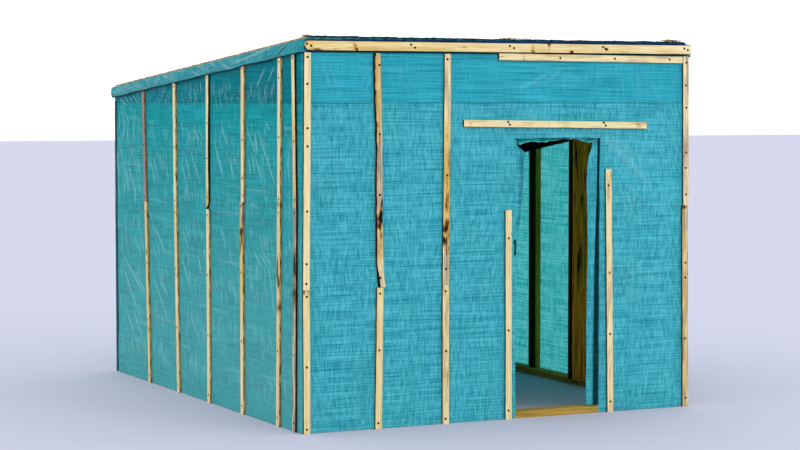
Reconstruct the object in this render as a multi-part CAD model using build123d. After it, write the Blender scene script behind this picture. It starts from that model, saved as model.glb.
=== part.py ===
# Ice fishing hut: a softwood frame under a lean-to roof, wrapped in woven sheet that thin
# battens hold on. Millimetres, +Z up. The origin is on the ground in the middle of the
# frame's outline. The doorway is in the wall that faces -Y, under the roof's high edge.
#
# Places along the front and back walls are given from the left corner, and places along
# the side walls from the front corner. Every top that meets the roof is cut to its slope.

from build123d import *
from math import cos, radians, tan
import os

# ---- overall frame, without sheet and battens ----
width = 2440.0
depth = 3050.0
front_height = 2100.0          # top of the roof strapping at the front
back_height = 1866.0           # and at the back

# ---- timber and sheet ----
two_by = 38.0                  # thickness of frame timber
stud_wide = 89.0
board = 19.0                   # thickness of the roof strapping and the fascia
batten_thick = 12.0            # thickness of the laths and the roof's edge boards
batten_wide = 40.0
strapping_wide = 64.0
post_thick = 48.0              # rough post inside the right wall
post_wide = 140.0
sheet = 3.0                    # woven sheet, made thick enough to be solid
joint_gap = 2.0                # between laths that meet end to end

# ---- wall framing, middles of the uprights ----
front_stud_first = 443.0
front_stud_bay = 417.0
front_stud_count = 2
corner_stud_gap = 0.0          # between the front corner stud and the side wall's first
left_stud_first = 281.0
left_stud_bay = 540.0
right_stud_first = 424.0
right_stud_bay = 659.0
rough_post_place = 2           # the rough post is the right wall's second regular upright
back_stud_count = 4
rafter_count = 4
strapping_count = 9
inner_rail_front = 1706.0      # underside of the side walls' inner rails, at the front
inner_rail_fall = 8.1          # degrees, down towards the back

# ---- doorway ----
door_left = 1301.0
door_width = 547.0
door_head_drop = 509.0         # from the roof's front edge down to the head
header_high = 89.0
door_clear = 1.5               # between the loose sheet in the doorway and the timber
flap_right_wide = 74.0
flap_right_turn = 20.0         # degrees folded inwards
flap_left_wide = 34.0
flap_left_low = 970.0
hem_high = 30.0

# ---- laths and boards that hold the sheet ----
front_joint = 773.0            # where the front wall's lower laths end
front_right_joint = 1175.0
left_joint_near = 1208.0       # the left wall's first laths
left_joint_near_count = 3
left_joint_far = 1147.0
back_joint = 1208.0
fascia_high = 50.0
fascia_left_in = 12.0          # its left end inside the frame's corner
fascia_right_out = 8.0         # its right end beyond the frame's corner
fascia_lath_gap = 12.0         # between the fascia and the tops of the laths under it
edge_board_high = 64.0
strip_high = 38.0
strip_start = 1185.0
strip_tilt = 0.4               # degrees, down to the right
strip_gap = 5.5                # under the fascia
lintel_high = 38.0
lintel_over_left = 335.0       # how far it runs on beyond the doorway
lintel_over_right = 307.0
lintel_rise = 86.0             # top of the lintel batten's left end above the door head
lintel_tilt = 0.85             # degrees, down to the right
door_batten_left_drop = 417.0  # the short battens' tops below the door head
door_batten_right_drop = 197.0
door_batten_left_out = 52.0    # from the doorway's edge to the batten's middle
door_batten_right_out = 59.0
wany_bow = 12.0                # how far the bark-edged lath bows to the right
wany_narrow = 6.0              # how much the bark takes from its width at most
wany_broken = 105.0            # how far up its left half is broken away
wany_foot = 29.0               # its width at the foot
wany_kick = 25.0               # how far its foot bends to the right
front_bead_high = 20.0         # the gathered sheet along the roof's front edge
bead_deep = 19.0
roof_lath_setback = 200.0      # the middle roof laths stop this far behind the front edge

# ---- how far each lath strays sideways from its stud, at its foot and at its top ----
corner_left_strays = ((1.0, -2.0), (-2.0, 9.0))        # the lower lath, then the upper
corner_right_strays = ((12.0, -1.0), (6.5, -1.5))
front_lower_strays = [(1.0, 13.0), (-4.0, -4.5)]
front_upper_strays = [(-5.0, 7.0)]                     # those beside the bark-edged lath
door_lath_strays = ((4.0, 0.0), (13.0, -8.0))
left_lower_strays = [(5.0, -16.0), (30.0, 6.0), (5.0, 7.0), (-12.0, -7.0), (-40.0, -1.0),
                     (-60.0, -4.0)]
left_upper_strays = [(-16.0, 4.0), (5.0, -8.0), (-11.0, -18.0), (-4.0, -11.0), (0.0, 10.0),
                     (-1.0, 34.0)]
straight = (0.0, 0.0)

# ---- worked out from these ----
half_width = width / 2
half_depth = depth / 2
door_right = door_left + door_width
door_head = front_height - door_head_drop
frame_drop = board + stud_wide           # from the strapping's top to the studs' tops
corner_side_stud = two_by + corner_stud_gap + stud_wide / 2
skin = half_width + sheet                # outer face of the side walls' sheets
front_skin = -half_depth - sheet
back_skin = half_depth + sheet
fascia_low = front_height - fascia_high
batten_face = skin + batten_thick        # outer face of the side walls' laths
back_face = back_skin + batten_thick
slope = (back_height - front_height) / depth


def from_left(place):
    return place - half_width


def from_front(place):
    return place - half_depth


def roof_z(y):
    """Height of the strapping's top at y."""
    return front_height + slope * (y + half_depth)


# ---- ways to make a piece ----
def block(x0, x1, y0, y1, z0, z1):
    middle = Vector((x0 + x1) / 2, (y0 + y1) / 2, (z0 + z1) / 2)
    return Location(middle) * Box(x1 - x0, y1 - y0, z1 - z0)


def side_outline(points, x0, x1):
    """A solid from x0 to x1 whose outline, seen from the right, joins the (y, z) points."""
    across = Plane(origin=(x0, 0, 0), x_dir=(0, 1, 0), z_dir=(1, 0, 0))
    return extrude(across * Polygon(*points, align=None), amount=x1 - x0, dir=(1, 0, 0))


def front_outline(outline, y0, y1):
    """A solid from y0 to y1 with this outline, drawn in x and z as seen from the front."""
    upright = Plane(origin=(0, y1, 0), x_dir=(1, 0, 0), z_dir=(0, -1, 0))
    return extrude(upright * outline, amount=y1 - y0, dir=(0, -1, 0))


def under_roof(x0, x1, y0, y1, z0, drop):
    """An upright piece standing at z0, its top this far below the strapping's top."""
    return side_outline([(y0, z0), (y1, z0), (y1, roof_z(y1) - drop),
                         (y0, roof_z(y0) - drop)], x0, x1)


def along_roof(x0, x1, y0, y1, drop_low, drop_high):
    """A piece that follows the roof between two drops below the strapping's top."""
    return side_outline([(y0, roof_z(y0) - drop_low), (y1, roof_z(y1) - drop_low),
                         (y1, roof_z(y1) - drop_high), (y0, roof_z(y0) - drop_high)],
                        x0, x1)


def side_x(side, inner, outer):
    """The x range between two distances from the middle, left (-1) or right (1)."""
    return sorted((side * inner, side * outer))


# ---- places that several pieces share ----
def regular_uprights(first, bay):
    """Uprights at equal bays, the last at least half a bay from the back wall's frame."""
    limit = depth - two_by - stud_wide / 2 - bay / 2
    return [first + k * bay for k in range(int((limit - first) // bay) + 1)]


front_studs_at = [front_stud_first + k * front_stud_bay for k in range(front_stud_count)]
door_studs_at = [door_left - stud_wide / 2, door_right + stud_wide / 2]
back_studs_at = [width * (k + 1) / (back_stud_count + 1) for k in range(back_stud_count)]
corners_at = [stud_wide / 2, width - stud_wide / 2]
left_studs_at = [corner_side_stud] + regular_uprights(left_stud_first, left_stud_bay)
right_regular = regular_uprights(right_stud_first, right_stud_bay)
right_uprights_at = [corner_side_stud] + right_regular
post_at = right_regular[rough_post_place - 1]
rafters_at = [width * (k + 1) / (rafter_count + 1) for k in range(rafter_count)]
front_frame = (-half_depth, -half_depth + two_by)
back_frame = (half_depth - two_by, half_depth)
inside = (front_frame[1], back_frame[0])


# ---- frame ----
def base_plates():
    y = half_depth - stud_wide
    ends = [block(-half_width, half_width, y0, y0 + stud_wide, 0, two_by)
            for y0 in (-half_depth, y)]
    sides = [block(*side_x(side, half_width - stud_wide, half_width), -y, y, 0, two_by)
             for side in (-1, 1)]
    return ends, sides


def end_wall_stud(middle, frame):
    """A stud of the front or back wall, flat against the sheet, under the top rail."""
    x = from_left(middle)
    top = roof_z(-half_depth if frame is front_frame else half_depth) - frame_drop
    return block(x - stud_wide / 2, x + stud_wide / 2, *frame, two_by, top)


def side_stud(middle, side):
    y = from_front(middle)
    return under_roof(*side_x(side, half_width - two_by, half_width),
                      y - stud_wide / 2, y + stud_wide / 2, two_by, frame_drop)


def rough_post():
    y = from_front(post_at)
    return under_roof(half_width - post_wide, half_width, y - post_thick / 2,
                      y + post_thick / 2, two_by, frame_drop)


def end_top_rail(frame):
    """A top rail with a level underside, its top bevelled to the roof."""
    y0, y1 = frame
    under = roof_z(-half_depth if frame is front_frame else half_depth) - frame_drop
    return side_outline([(y0, under), (y1, under), (y1, roof_z(y1) - board),
                         (y0, roof_z(y0) - board)], -half_width, half_width)


def side_top_rail(side):
    return along_roof(*side_x(side, half_width - two_by, half_width), *inside,
                      frame_drop, board)


def rafter(middle):
    x = from_left(middle)
    return along_roof(x - two_by / 2, x + two_by / 2, *inside, frame_drop, board)


def strapping(k):
    y = from_front(k * (depth - strapping_wide) / (strapping_count - 1))
    return along_roof(-half_width, half_width, y, y + strapping_wide, board, 0)


def inner_rail(side):
    """A rail on the studs' inner faces, from the rough post's back to the back wall."""
    y0, y1 = from_front(post_at) + post_thick / 2, inside[1]
    fall = tan(radians(inner_rail_fall))
    low0 = inner_rail_front - (y0 + half_depth) * fall
    low1 = inner_rail_front - (y1 + half_depth) * fall
    high = stud_wide / cos(radians(inner_rail_fall))
    return side_outline([(y0, low0), (y1, low1), (y1, low1 + high), (y0, low0 + high)],
                        *side_x(side, half_width - 2 * two_by, half_width - two_by))


# ---- roof covering ----
def side_edge_board(side):
    return along_roof(*side_x(side, skin, batten_face), front_skin, back_skin,
                      edge_board_high, -sheet)


def back_edge_board():
    y0, y1 = back_skin, back_face
    low = roof_z(y0) - edge_board_high
    return side_outline([(y0, low), (y1, low), (y1, roof_z(y1) + sheet),
                         (y0, roof_z(y0) + sheet)], -batten_face, batten_face)


def side_edge_fold(side):
    """The roof sheet's folded edge, down over the edge board."""
    return along_roof(*side_x(side, batten_face, batten_face + sheet), front_skin,
                      back_face, edge_board_high + sheet, -2 * sheet)


def back_edge_fold():
    y0, y1 = back_face, back_face + sheet
    low = roof_z(y0) - edge_board_high - sheet
    return side_outline([(y0, low), (y1, low), (y1, roof_z(y1) + 2 * sheet),
                         (y0, roof_z(y0) + 2 * sheet)],
                        -batten_face - sheet, batten_face + sheet)


def front_edge_bead():
    """Gathered sheet along the front edge: it sits on the roof sheet, rounded on top."""
    y0, y1 = front_skin, front_skin + bead_deep
    low0, low1 = roof_z(y0) + 2 * sheet, roof_z(y1) + 2 * sheet
    shoulder = low0 + front_bead_high - bead_deep / 2
    outline = make_face(Wire([
        Line((y0, low0), (y1, low1)),
        Line((y1, low1), (y1, shoulder)),
        ThreePointArc((y1, shoulder), ((y0 + y1) / 2, low0 + front_bead_high),
                      (y0, shoulder)),
        Line((y0, shoulder), (y0, low0))]))
    across = Plane(origin=(-skin, 0, 0), x_dir=(0, 1, 0), z_dir=(1, 0, 0))
    return extrude(across * outline, amount=2 * skin, dir=(1, 0, 0))


def roof_lath(middle, y0):
    x = from_left(middle)
    return along_roof(x - batten_wide / 2, x + batten_wide / 2, y0, back_skin,
                      -2 * sheet, -2 * sheet - batten_thick)


# ---- wall sheets and what is loose in the doorway ----
def side_sheet(side):
    return under_roof(*side_x(side, half_width, skin), -half_depth, half_depth, 0, 0)


def front_sheet(x0, x1, z0):
    return block(x0, x1, front_skin, -half_depth, z0, front_height)


def door_flap_right():
    """The sheet's cut edge, turned inwards about the doorway's right edge."""
    hinge = Location((from_left(door_right) - door_clear, front_skin, 0))
    leaf = block(-flap_right_wide, 0, 0, sheet, two_by + door_clear,
                 door_head - hem_high - door_clear)
    return hinge * Rotation(0, 0, -flap_right_turn) * leaf


def door_flap_left():
    x = from_left(door_left) + door_clear
    return block(x, x + flap_left_wide, front_skin, -half_depth, flap_left_low,
                 door_head - hem_high - door_clear)


def door_hem():
    return block(from_left(door_left), from_left(door_right), front_skin, -half_depth,
                 door_head - hem_high, door_head)


# ---- battens and boards outside the sheet ----
def front_lath(middle, z0, z1, stray=straight):
    half = batten_wide / 2
    foot, top = (from_left(middle) + aside for aside in stray)
    outline = Polygon((foot - half, z0), (foot + half, z0), (top + half, z1),
                      (top - half, z1), align=None)
    return front_outline(outline, front_skin - batten_thick, front_skin)


def back_lath(middle, z0, z1):
    x = from_left(middle)
    return block(x - batten_wide / 2, x + batten_wide / 2, back_skin, back_face, z0, z1)


def side_lath_low(middle, side, joint, stray=straight):
    half, high = batten_wide / 2, joint - joint_gap
    foot, top = (from_front(middle) + aside for aside in stray)
    return side_outline([(foot - half, 0), (foot + half, 0), (top + half, high),
                         (top - half, high)], *side_x(side, skin, batten_face))


def side_lath_up(middle, side, joint, stray=straight):
    """The upper lath, cut to the slope under the edge board."""
    half = batten_wide / 2
    foot, top = (from_front(middle) + aside for aside in stray)
    return side_outline([(foot - half, joint), (foot + half, joint),
                         (top + half, roof_z(top + half) - edge_board_high),
                         (top - half, roof_z(top - half) - edge_board_high)],
                        *side_x(side, skin, batten_face))


def with_strays(places, strays):
    """Each place with its stray, which repeat where there are more places than strays."""
    return [(at, strays[k % len(strays)]) for k, at in enumerate(places)]


def fascia_board():
    """The fascia, its left end rounded off."""
    x0, x1 = -half_width + fascia_left_in, half_width + fascia_right_out
    turn = x0 + fascia_high / 3
    outline = make_face(Wire([
        Line((turn, fascia_low), (x1, fascia_low)),
        Line((x1, fascia_low), (x1, front_height)),
        Line((x1, front_height), (turn, front_height)),
        ThreePointArc((turn, front_height), (x0, front_height - fascia_high / 2),
                      (turn, fascia_low))]))
    return front_outline(outline, front_skin - board, front_skin)


def tilted_strip(x0, x1, top, high, tilt):
    """A strip on the front wall, its top left corner at (x0, top), down to the right."""
    long = (x1 - x0) / cos(radians(tilt))
    flat = block(0, long, front_skin - batten_thick, front_skin, -high, 0)
    return Location((x0, 0, top)) * Rotation(0, tilt, 0) * flat


def wany_batten(middle, z0, z1):
    """A bowed lath with bark on its left edge. Its foot bends to the right, and the left
    half is broken away above it."""
    x = from_left(middle)
    left, right = x - batten_wide / 2, x + batten_wide / 2
    broken, half_way = z0 + wany_broken, (z0 + z1) / 2
    heel, toe = right + wany_kick - wany_foot, right + wany_kick
    left_edge = Spline((left - wany_bow / 2, z1), (left + wany_narrow, half_way),
                       (left + wany_bow, broken))
    right_edge = Spline((toe, z0), (right + wany_bow, broken), (right + wany_bow / 2, half_way),
                        (right - wany_bow / 2, z1))
    outline = make_face(Wire([
        left_edge,
        Line((left + wany_bow, broken), (x + wany_bow / 2, broken - wany_broken / 4)),
        Line((x + wany_bow / 2, broken - wany_broken / 4), (heel, z0)),
        Line((heel, z0), (toe, z0)),
        right_edge,
        Line((right - wany_bow / 2, z1), (left - wany_bow / 2, z1))]))
    return front_outline(outline, front_skin - batten_thick, front_skin)


# ---- the pieces ----
front_plates, side_plates = base_plates()
right_corner = width - batten_wide / 2
strip_end = from_left(right_corner) - batten_wide / 2 - 2 * joint_gap
under_fascia = fascia_low - fascia_lath_gap
left_joints = [left_joint_near if k < left_joint_near_count else left_joint_far
               for k in range(len(left_studs_at))]
left_lower = with_strays(left_studs_at, left_lower_strays)
left_upper = with_strays(left_studs_at, left_upper_strays)
back_battens_at = [batten_wide / 2] + back_studs_at + [width - batten_wide / 2]
under_back_edge = roof_z(back_skin) - edge_board_high - sheet - joint_gap
wany_at, plain_at = front_studs_at[0], front_studs_at[1:]

parts = {
    "front_back_base_plates": front_plates,
    "side_base_plates": side_plates,
    "corner_posts": [end_wall_stud(at, frame) for at in corners_at
                     for frame in (front_frame, back_frame)],
    "front_studs": [end_wall_stud(at, front_frame) for at in front_studs_at],
    "door_studs": [end_wall_stud(at, front_frame) for at in door_studs_at],
    "door_header": [block(from_left(door_left), from_left(door_right), *front_frame,
                          door_head, door_head + header_high)],
    "back_studs": [end_wall_stud(at, back_frame) for at in back_studs_at],
    "left_studs": [side_stud(at, -1) for at in left_studs_at],
    "right_studs": [side_stud(at, 1) for at in right_uprights_at if at != post_at],
    "rough_post": [rough_post()],
    "front_top_rail": [end_top_rail(front_frame)],
    "back_top_rail": [end_top_rail(back_frame)],
    "side_top_rails": [side_top_rail(side) for side in (-1, 1)],
    "side_inner_rails": [inner_rail(side) for side in (-1, 1)],
    "rafters": [rafter(at) for at in rafters_at],
    "roof_strapping": [strapping(k) for k in range(strapping_count)],

    "roof_under_sheet": [along_roof(-half_width, half_width, -half_depth, half_depth, 0,
                                    -sheet)],
    "roof_sheet": [along_roof(-batten_face, batten_face, front_skin, back_face,
                              -sheet, -2 * sheet)],
    "side_edge_boards": [side_edge_board(side) for side in (-1, 1)],
    "back_edge_board": [back_edge_board()],
    "roof_edge_left": [side_edge_fold(-1)],
    "roof_edge_right": [side_edge_fold(1)],
    "roof_edge_back": [back_edge_fold()],
    "roof_edge_front": [front_edge_bead()],
    "roof_laths": [roof_lath(at, front_skin + bead_deep)
                   for at in (batten_wide / 2, width - batten_wide / 2)]
                  + [roof_lath(at, front_skin + roof_lath_setback) for at in rafters_at],

    "front_sheet_left": [front_sheet(-skin, from_left(door_left), 0)],
    "front_sheet_right": [front_sheet(from_left(door_right), skin, 0)],
    "front_sheet_over_door": [front_sheet(from_left(door_left), from_left(door_right),
                                          door_head)],
    "left_sheet": [side_sheet(-1)],
    "right_sheet": [side_sheet(1)],
    "back_sheet": [block(-skin, skin, half_depth, back_skin, 0, roof_z(back_skin))],
    "door_flap_left": [door_flap_left()],
    "door_flap_right": [door_flap_right()],
    "door_hem": [door_hem()],

    "fascia_board": [fascia_board()],
    "under_fascia_strip": [tilted_strip(from_left(strip_start), strip_end,
                                        fascia_low - strip_gap, strip_high, strip_tilt)],
    "lintel_batten": [tilted_strip(from_left(door_left - lintel_over_left),
                                   from_left(door_right + lintel_over_right),
                                   door_head + lintel_rise, lintel_high, lintel_tilt)],
    "corner_battens": [front_lath(batten_wide / 2, 0, front_joint - joint_gap,
                                  corner_left_strays[0]),
                       front_lath(batten_wide / 2, front_joint, under_fascia,
                                  corner_left_strays[1]),
                       front_lath(right_corner, 0, front_right_joint - joint_gap,
                                  corner_right_strays[0]),
                       front_lath(right_corner, front_right_joint, under_fascia,
                                  corner_right_strays[1])],
    "wany_batten": [wany_batten(wany_at, front_joint, under_fascia)],
    "front_battens_lower": [front_lath(at, 0, front_joint - joint_gap, stray)
                            for at, stray in with_strays(front_studs_at, front_lower_strays)],
    "front_battens_upper": [front_lath(at, front_joint, under_fascia, stray)
                            for at, stray in with_strays(plain_at, front_upper_strays)],
    "door_battens": [front_lath(door_left - door_batten_left_out, 0,
                                door_head - door_batten_left_drop, door_lath_strays[0]),
                     front_lath(door_right + door_batten_right_out, 0,
                                door_head - door_batten_right_drop, door_lath_strays[1])],
    "left_battens_lower": [side_lath_low(at, -1, joint, stray)
                           for (at, stray), joint in zip(left_lower, left_joints)],
    "left_battens_upper": [side_lath_up(at, -1, joint, stray)
                           for (at, stray), joint in zip(left_upper, left_joints)],
    "right_battens_lower": [side_lath_low(at, 1, back_joint) for at in right_uprights_at],
    "right_battens_upper": [side_lath_up(at, 1, back_joint) for at in right_uprights_at],
    "back_battens_lower": [back_lath(at, 0, back_joint - joint_gap)
                           for at in back_battens_at],
    "back_battens_upper": [back_lath(at, back_joint, under_back_edge)
                           for at in back_battens_at],
}

os.makedirs("parts", exist_ok=True)
for name, solids in parts.items():
    shape = solids[0] if len(solids) == 1 else Compound(children=solids)
    shape.label = name
    export_step(shape, "parts/" + name + ".step")
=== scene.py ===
# Ice fishing hut: woven sheet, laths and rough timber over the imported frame. Metres, +Z up.
# The doorway is in the wall that faces -Y; the left wall faces -X.
import bpy
import bmesh
import numpy as np
from functools import partial
from itertools import product
from math import radians
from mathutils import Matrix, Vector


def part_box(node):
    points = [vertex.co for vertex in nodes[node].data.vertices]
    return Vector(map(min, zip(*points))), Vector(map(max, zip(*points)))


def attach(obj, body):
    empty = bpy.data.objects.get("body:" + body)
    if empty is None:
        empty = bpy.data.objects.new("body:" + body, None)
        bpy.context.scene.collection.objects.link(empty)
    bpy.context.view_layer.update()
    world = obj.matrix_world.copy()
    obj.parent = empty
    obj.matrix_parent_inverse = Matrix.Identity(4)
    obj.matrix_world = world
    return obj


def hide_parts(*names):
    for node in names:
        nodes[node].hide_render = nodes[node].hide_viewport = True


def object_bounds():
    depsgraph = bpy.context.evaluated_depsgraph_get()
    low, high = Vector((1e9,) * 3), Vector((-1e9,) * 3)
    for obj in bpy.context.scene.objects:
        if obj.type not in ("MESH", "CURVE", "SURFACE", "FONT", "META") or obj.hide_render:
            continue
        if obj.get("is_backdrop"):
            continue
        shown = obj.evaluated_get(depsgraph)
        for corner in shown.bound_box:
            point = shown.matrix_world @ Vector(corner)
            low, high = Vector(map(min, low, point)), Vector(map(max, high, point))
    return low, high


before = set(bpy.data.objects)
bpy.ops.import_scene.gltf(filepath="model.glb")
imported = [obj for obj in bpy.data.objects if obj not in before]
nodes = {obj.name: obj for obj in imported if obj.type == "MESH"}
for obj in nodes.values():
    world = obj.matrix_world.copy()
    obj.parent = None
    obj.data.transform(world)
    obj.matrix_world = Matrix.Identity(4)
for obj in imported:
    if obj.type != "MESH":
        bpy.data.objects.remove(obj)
cadLow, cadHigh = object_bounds()
body = "root"
print("frame loaded,", len(nodes), "nodes")

cameraSetup = {"place": (-5.847, -12.1, 1.787), "turn": -26.22, "tilt": -3.3,
               "lens": 97.65, "sensor": 36.0, "farthest": 200.0}
studio = {"sky": "#FAFAFF", "skyStrength": 1.42, "floor": "#B6B9C8", "floorWide": 160.0,
          "keyPlace": (9.0, -19.8, 11.0), "keyAim": (0.0, -1.2, 1.0), "keyWide": 6.0,
          "keyPower": 560.0, "keyColour": "#FFF8EE"}


# sRGB hex to linear: a straight line near black, else the 2.4 power curve
def linear(colour):
    parts = [int(colour[k:k + 2], 16) / 255 for k in (1, 3, 5)]
    return (*[c / 12.92 if c <= 0.04045 else ((c + 0.055) / 1.055) ** 2.4 for c in parts],
            1.0)


# adds one node; its sockets, in order or by name, get a constant or the output that feeds
# them
def addNode(tree, kind, sockets=(), out=0, ramp=(), **settings):
    made = tree.nodes.new("ShaderNode" + kind)
    for name, value in settings.items():
        setattr(made, name, value)
    for name, value in sockets.items() if isinstance(sockets, dict) else enumerate(sockets):
        if isinstance(value, bpy.types.NodeSocket):
            tree.links.new(value, made.inputs[name])
        else:
            made.inputs[name].default_value = value
    for k, (place, colour) in enumerate(ramp):
        stops = made.color_ramp.elements
        stop = stops[k] if k < 2 else stops.new(place)
        stop.position, stop.color = place, linear(colour)
    return made.outputs[out] if made.outputs else made


# a new material, and what adds a node to its emptied tree
def startMaterial(name):
    material = bpy.data.materials.new(name)
    material.use_nodes = True
    material.node_tree.nodes.clear()
    return material, partial(addNode, material.node_tree)


# the end of a material: bumps of this strength and distance, and a shader with these
# sockets
def endMaterial(node, height, strength, distance, sockets):
    bump = node("Bump", {"Height": height, "Strength": strength, "Distance": distance})
    skin = node("BsdfPrincipled", {"Normal": bump, **sockets})
    node("OutputMaterial", (skin,))


# camera, pale sky, one broad lamp turned towards its aim, and a plain pale floor
def setStage():
    scene = bpy.context.scene
    scene.view_settings.view_transform = "Standard"
    eye = bpy.data.objects.new("camera", bpy.data.cameras.new("camera"))
    eye.data.lens, eye.data.sensor_width = cameraSetup["lens"], cameraSetup["sensor"]
    eye.data.clip_end = cameraSetup["farthest"]
    eye.location = cameraSetup["place"]
    eye.rotation_euler = (radians(90 + cameraSetup["tilt"]), 0,
                          radians(cameraSetup["turn"]))
    scene.collection.objects.link(eye)
    scene.camera = eye

    scene.world = bpy.data.worlds.new("paleSky")
    scene.world.use_nodes = True
    sky = scene.world.node_tree.nodes["Background"]
    sky.inputs["Color"].default_value = linear(studio["sky"])
    sky.inputs["Strength"].default_value = studio["skyStrength"]

    lamp = bpy.data.lights.new("key", "AREA")
    lamp.shape, lamp.size = "DISK", studio["keyWide"]
    lamp.energy, lamp.color = studio["keyPower"], linear(studio["keyColour"])[:3]
    key = bpy.data.objects.new("key", lamp)
    key.location = studio["keyPlace"]
    aim = np.array(studio["keyAim"]) - studio["keyPlace"]
    key.rotation_euler = (np.arctan2(np.hypot(*aim[:2]), -aim[2]), 0,
                          np.arctan2(aim[1], aim[0]) - np.pi / 2)
    scene.collection.objects.link(key)

    half = studio["floorWide"] / 2
    mesh = bpy.data.meshes.new("floor")
    mesh.from_pydata([(-half, -half, 0), (half, -half, 0), (half, half, 0),
                      (-half, half, 0)], [], [(0, 1, 2, 3)])
    floor = bpy.data.objects.new("floor", mesh)
    scene.collection.objects.link(floor)
    material, node = startMaterial("matt pale floor")
    paint = node("BsdfPrincipled", {"Base Color": linear(studio["floor"]),
                                    "Roughness": 0.95, "IOR": 1.3})
    node("OutputMaterial", (paint,))
    mesh.materials.append(material)
    floor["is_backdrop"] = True


setStage()
print("camera and studio set")


# a random draw that is the same each run
def chance(seed):
    return np.random.default_rng(seed)


# a soft step from 0 at low to 1 at high
def softStep(x, low, high):
    t = np.clip((x - low) / (high - low), 0, 1)
    return t * t * (3 - 2 * t)


# a value given at a few places, joined by straight lines
def through(x, places):
    at, values = zip(*places)
    return np.interp(x, at, values)


# places from stop to stop, about a cell apart; a stretch has at least `fewest` of them
def spread(stops, cell, fewest=1):
    return np.concatenate([
        np.linspace(a, b, max(fewest, int(round((b - a) / cell)) + 1))[:-1]
        for a, b in zip(stops, stops[1:])] + [stops[-1:]])


# gentle waves, about -1 to 1: sines in random directions, each 0.78 as long and 0.82 as
# high as the one before
def waves(u, v, longest, seed, count=9):
    draw = chance(seed)
    total, weight = np.zeros(np.broadcast(u, v).shape), 0.0
    for k in range(count):
        long, turn = longest * 0.78 ** k, draw.uniform(0, np.pi)
        phase = draw.uniform(0, 2 * np.pi)
        share = 0.82 ** k
        total += share * np.sin(2 * np.pi / long * (u * np.cos(turn)
                                                    + v * np.sin(turn)) + phase)
        weight += share ** 2
    return total / np.sqrt(weight) / 1.4


# draws creases as rows (u, v, lean from upright, length, width, height), from families of
# (seed, count, low and high u, v, mean lean and its spread, low and high of the rest)
def drawCreases(*families):
    rows = []
    for seed, count, u, v, lean, *others in families:
        draw = chance(seed)
        rows.append(np.stack([
            draw.uniform(*u, count), draw.uniform(*v, count),
            np.radians(draw.normal(*lean, count)),
            *[draw.uniform(*ends, count) for ends in others]], 1))
    return np.concatenate(rows)


# creases from one point of the sheet to another, given as (u, v, u, v, width, height), as
# such rows
def placeCreases(lines):
    u0, v0, u1, v1, width, height = np.array(lines, float).T
    return np.stack([(u0 + u1) / 2, (v0 + v1) / 2, np.arctan2(u1 - u0, v1 - v0),
                     np.hypot(u1 - u0, v1 - v0), width, height], 1)


# each crease is a bell across its line times a taper towards both ends, with a shallow
# trough on one side; the rows are added up
def creaseField(u, v, rows):
    field = np.zeros(u.shape)
    for cu, cv, lean, length, width, height in rows:
        reach = length / 2 + 3 * width
        near = (np.abs(u - cu) < reach) & (np.abs(v - cv) < reach)
        du, dv = u[near] - cu, v[near] - cv
        along = (du * np.sin(lean) + dv * np.cos(lean)) / (length / 2)
        across = (du * np.cos(lean) - dv * np.sin(lean)) / width
        field[near] += height * np.clip(1 - along ** 2, 0, 1) * (
            np.exp(-across ** 2) - 0.45 * np.exp(-(across - 1.6) ** 2))
    return field


# the four corners of each cell of a grid, in turn
def cells(grid):
    return np.stack([grid[:-1, :-1], grid[:-1, 1:], grid[1:, 1:], grid[1:, :-1]], 2)


# a grid of points as quads that look along `outward`; cells may be left out
def gridPatch(points, chart, outward, marks=None, keep=None):
    index = np.arange(points[..., 0].size).reshape(points.shape[:2])
    quads = cells(index).reshape(-1, 4) if keep is None else cells(index)[keep]
    flat = points.reshape(-1, 3)
    facing = np.cross(flat[quads[:, 2]] - flat[quads[:, 0]],
                      flat[quads[:, 3]] - flat[quads[:, 1]]).sum(0)
    if facing @ np.array(outward, float) < 0:
        quads = quads[:, ::-1]
    used, at = np.unique(quads, return_inverse=True)
    return {"points": flat[used], "faces": at.reshape(-1, 4),
            "chart": chart.reshape(-1, 2)[quads].reshape(-1, 2),
            "marks": {k: np.broadcast_to(m, index.shape).reshape(-1)[used]
                      for k, m in (marks or {}).items()}}


# one mesh object at the origin from patches; `merge` joins edges that lie on each other
def makePiece(name, patches, finish, standsFor=(), smooth=True, merge=0.0):
    offsets = np.cumsum([0] + [len(p["points"]) for p in patches])
    faces = [[int(i) + int(o) for i in face]
             for p, o in zip(patches, offsets) for face in p["faces"]]
    mesh = bpy.data.meshes.new(name)
    mesh.from_pydata(np.concatenate([p["points"] for p in patches]).tolist(), [], faces)
    chart = mesh.uv_layers.new(name="chart")
    chart.data.foreach_set("uv", np.concatenate([p["chart"] for p in patches]).ravel())
    for mark in sorted({k for p in patches for k in p.get("marks", {})}):
        values = [np.broadcast_to(p.get("marks", {}).get(mark, 0.0), len(p["points"]))
                  for p in patches]
        layer = mesh.attributes.new(mark, "FLOAT", "POINT")
        layer.data.foreach_set("value", np.concatenate(values).astype(np.float32))
    mesh.polygons.foreach_set("use_smooth", [smooth] * len(faces))
    if merge:
        work = bmesh.new()
        work.from_mesh(mesh)
        bmesh.ops.remove_doubles(work, verts=work.verts, dist=merge)
        work.to_mesh(mesh)
        work.free()
    mesh.materials.append(finish)
    piece = bpy.data.objects.new(name, mesh)
    bpy.context.scene.collection.objects.link(piece)
    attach(piece, body)
    if standsFor:
        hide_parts(*standsFor)
    return piece


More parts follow.
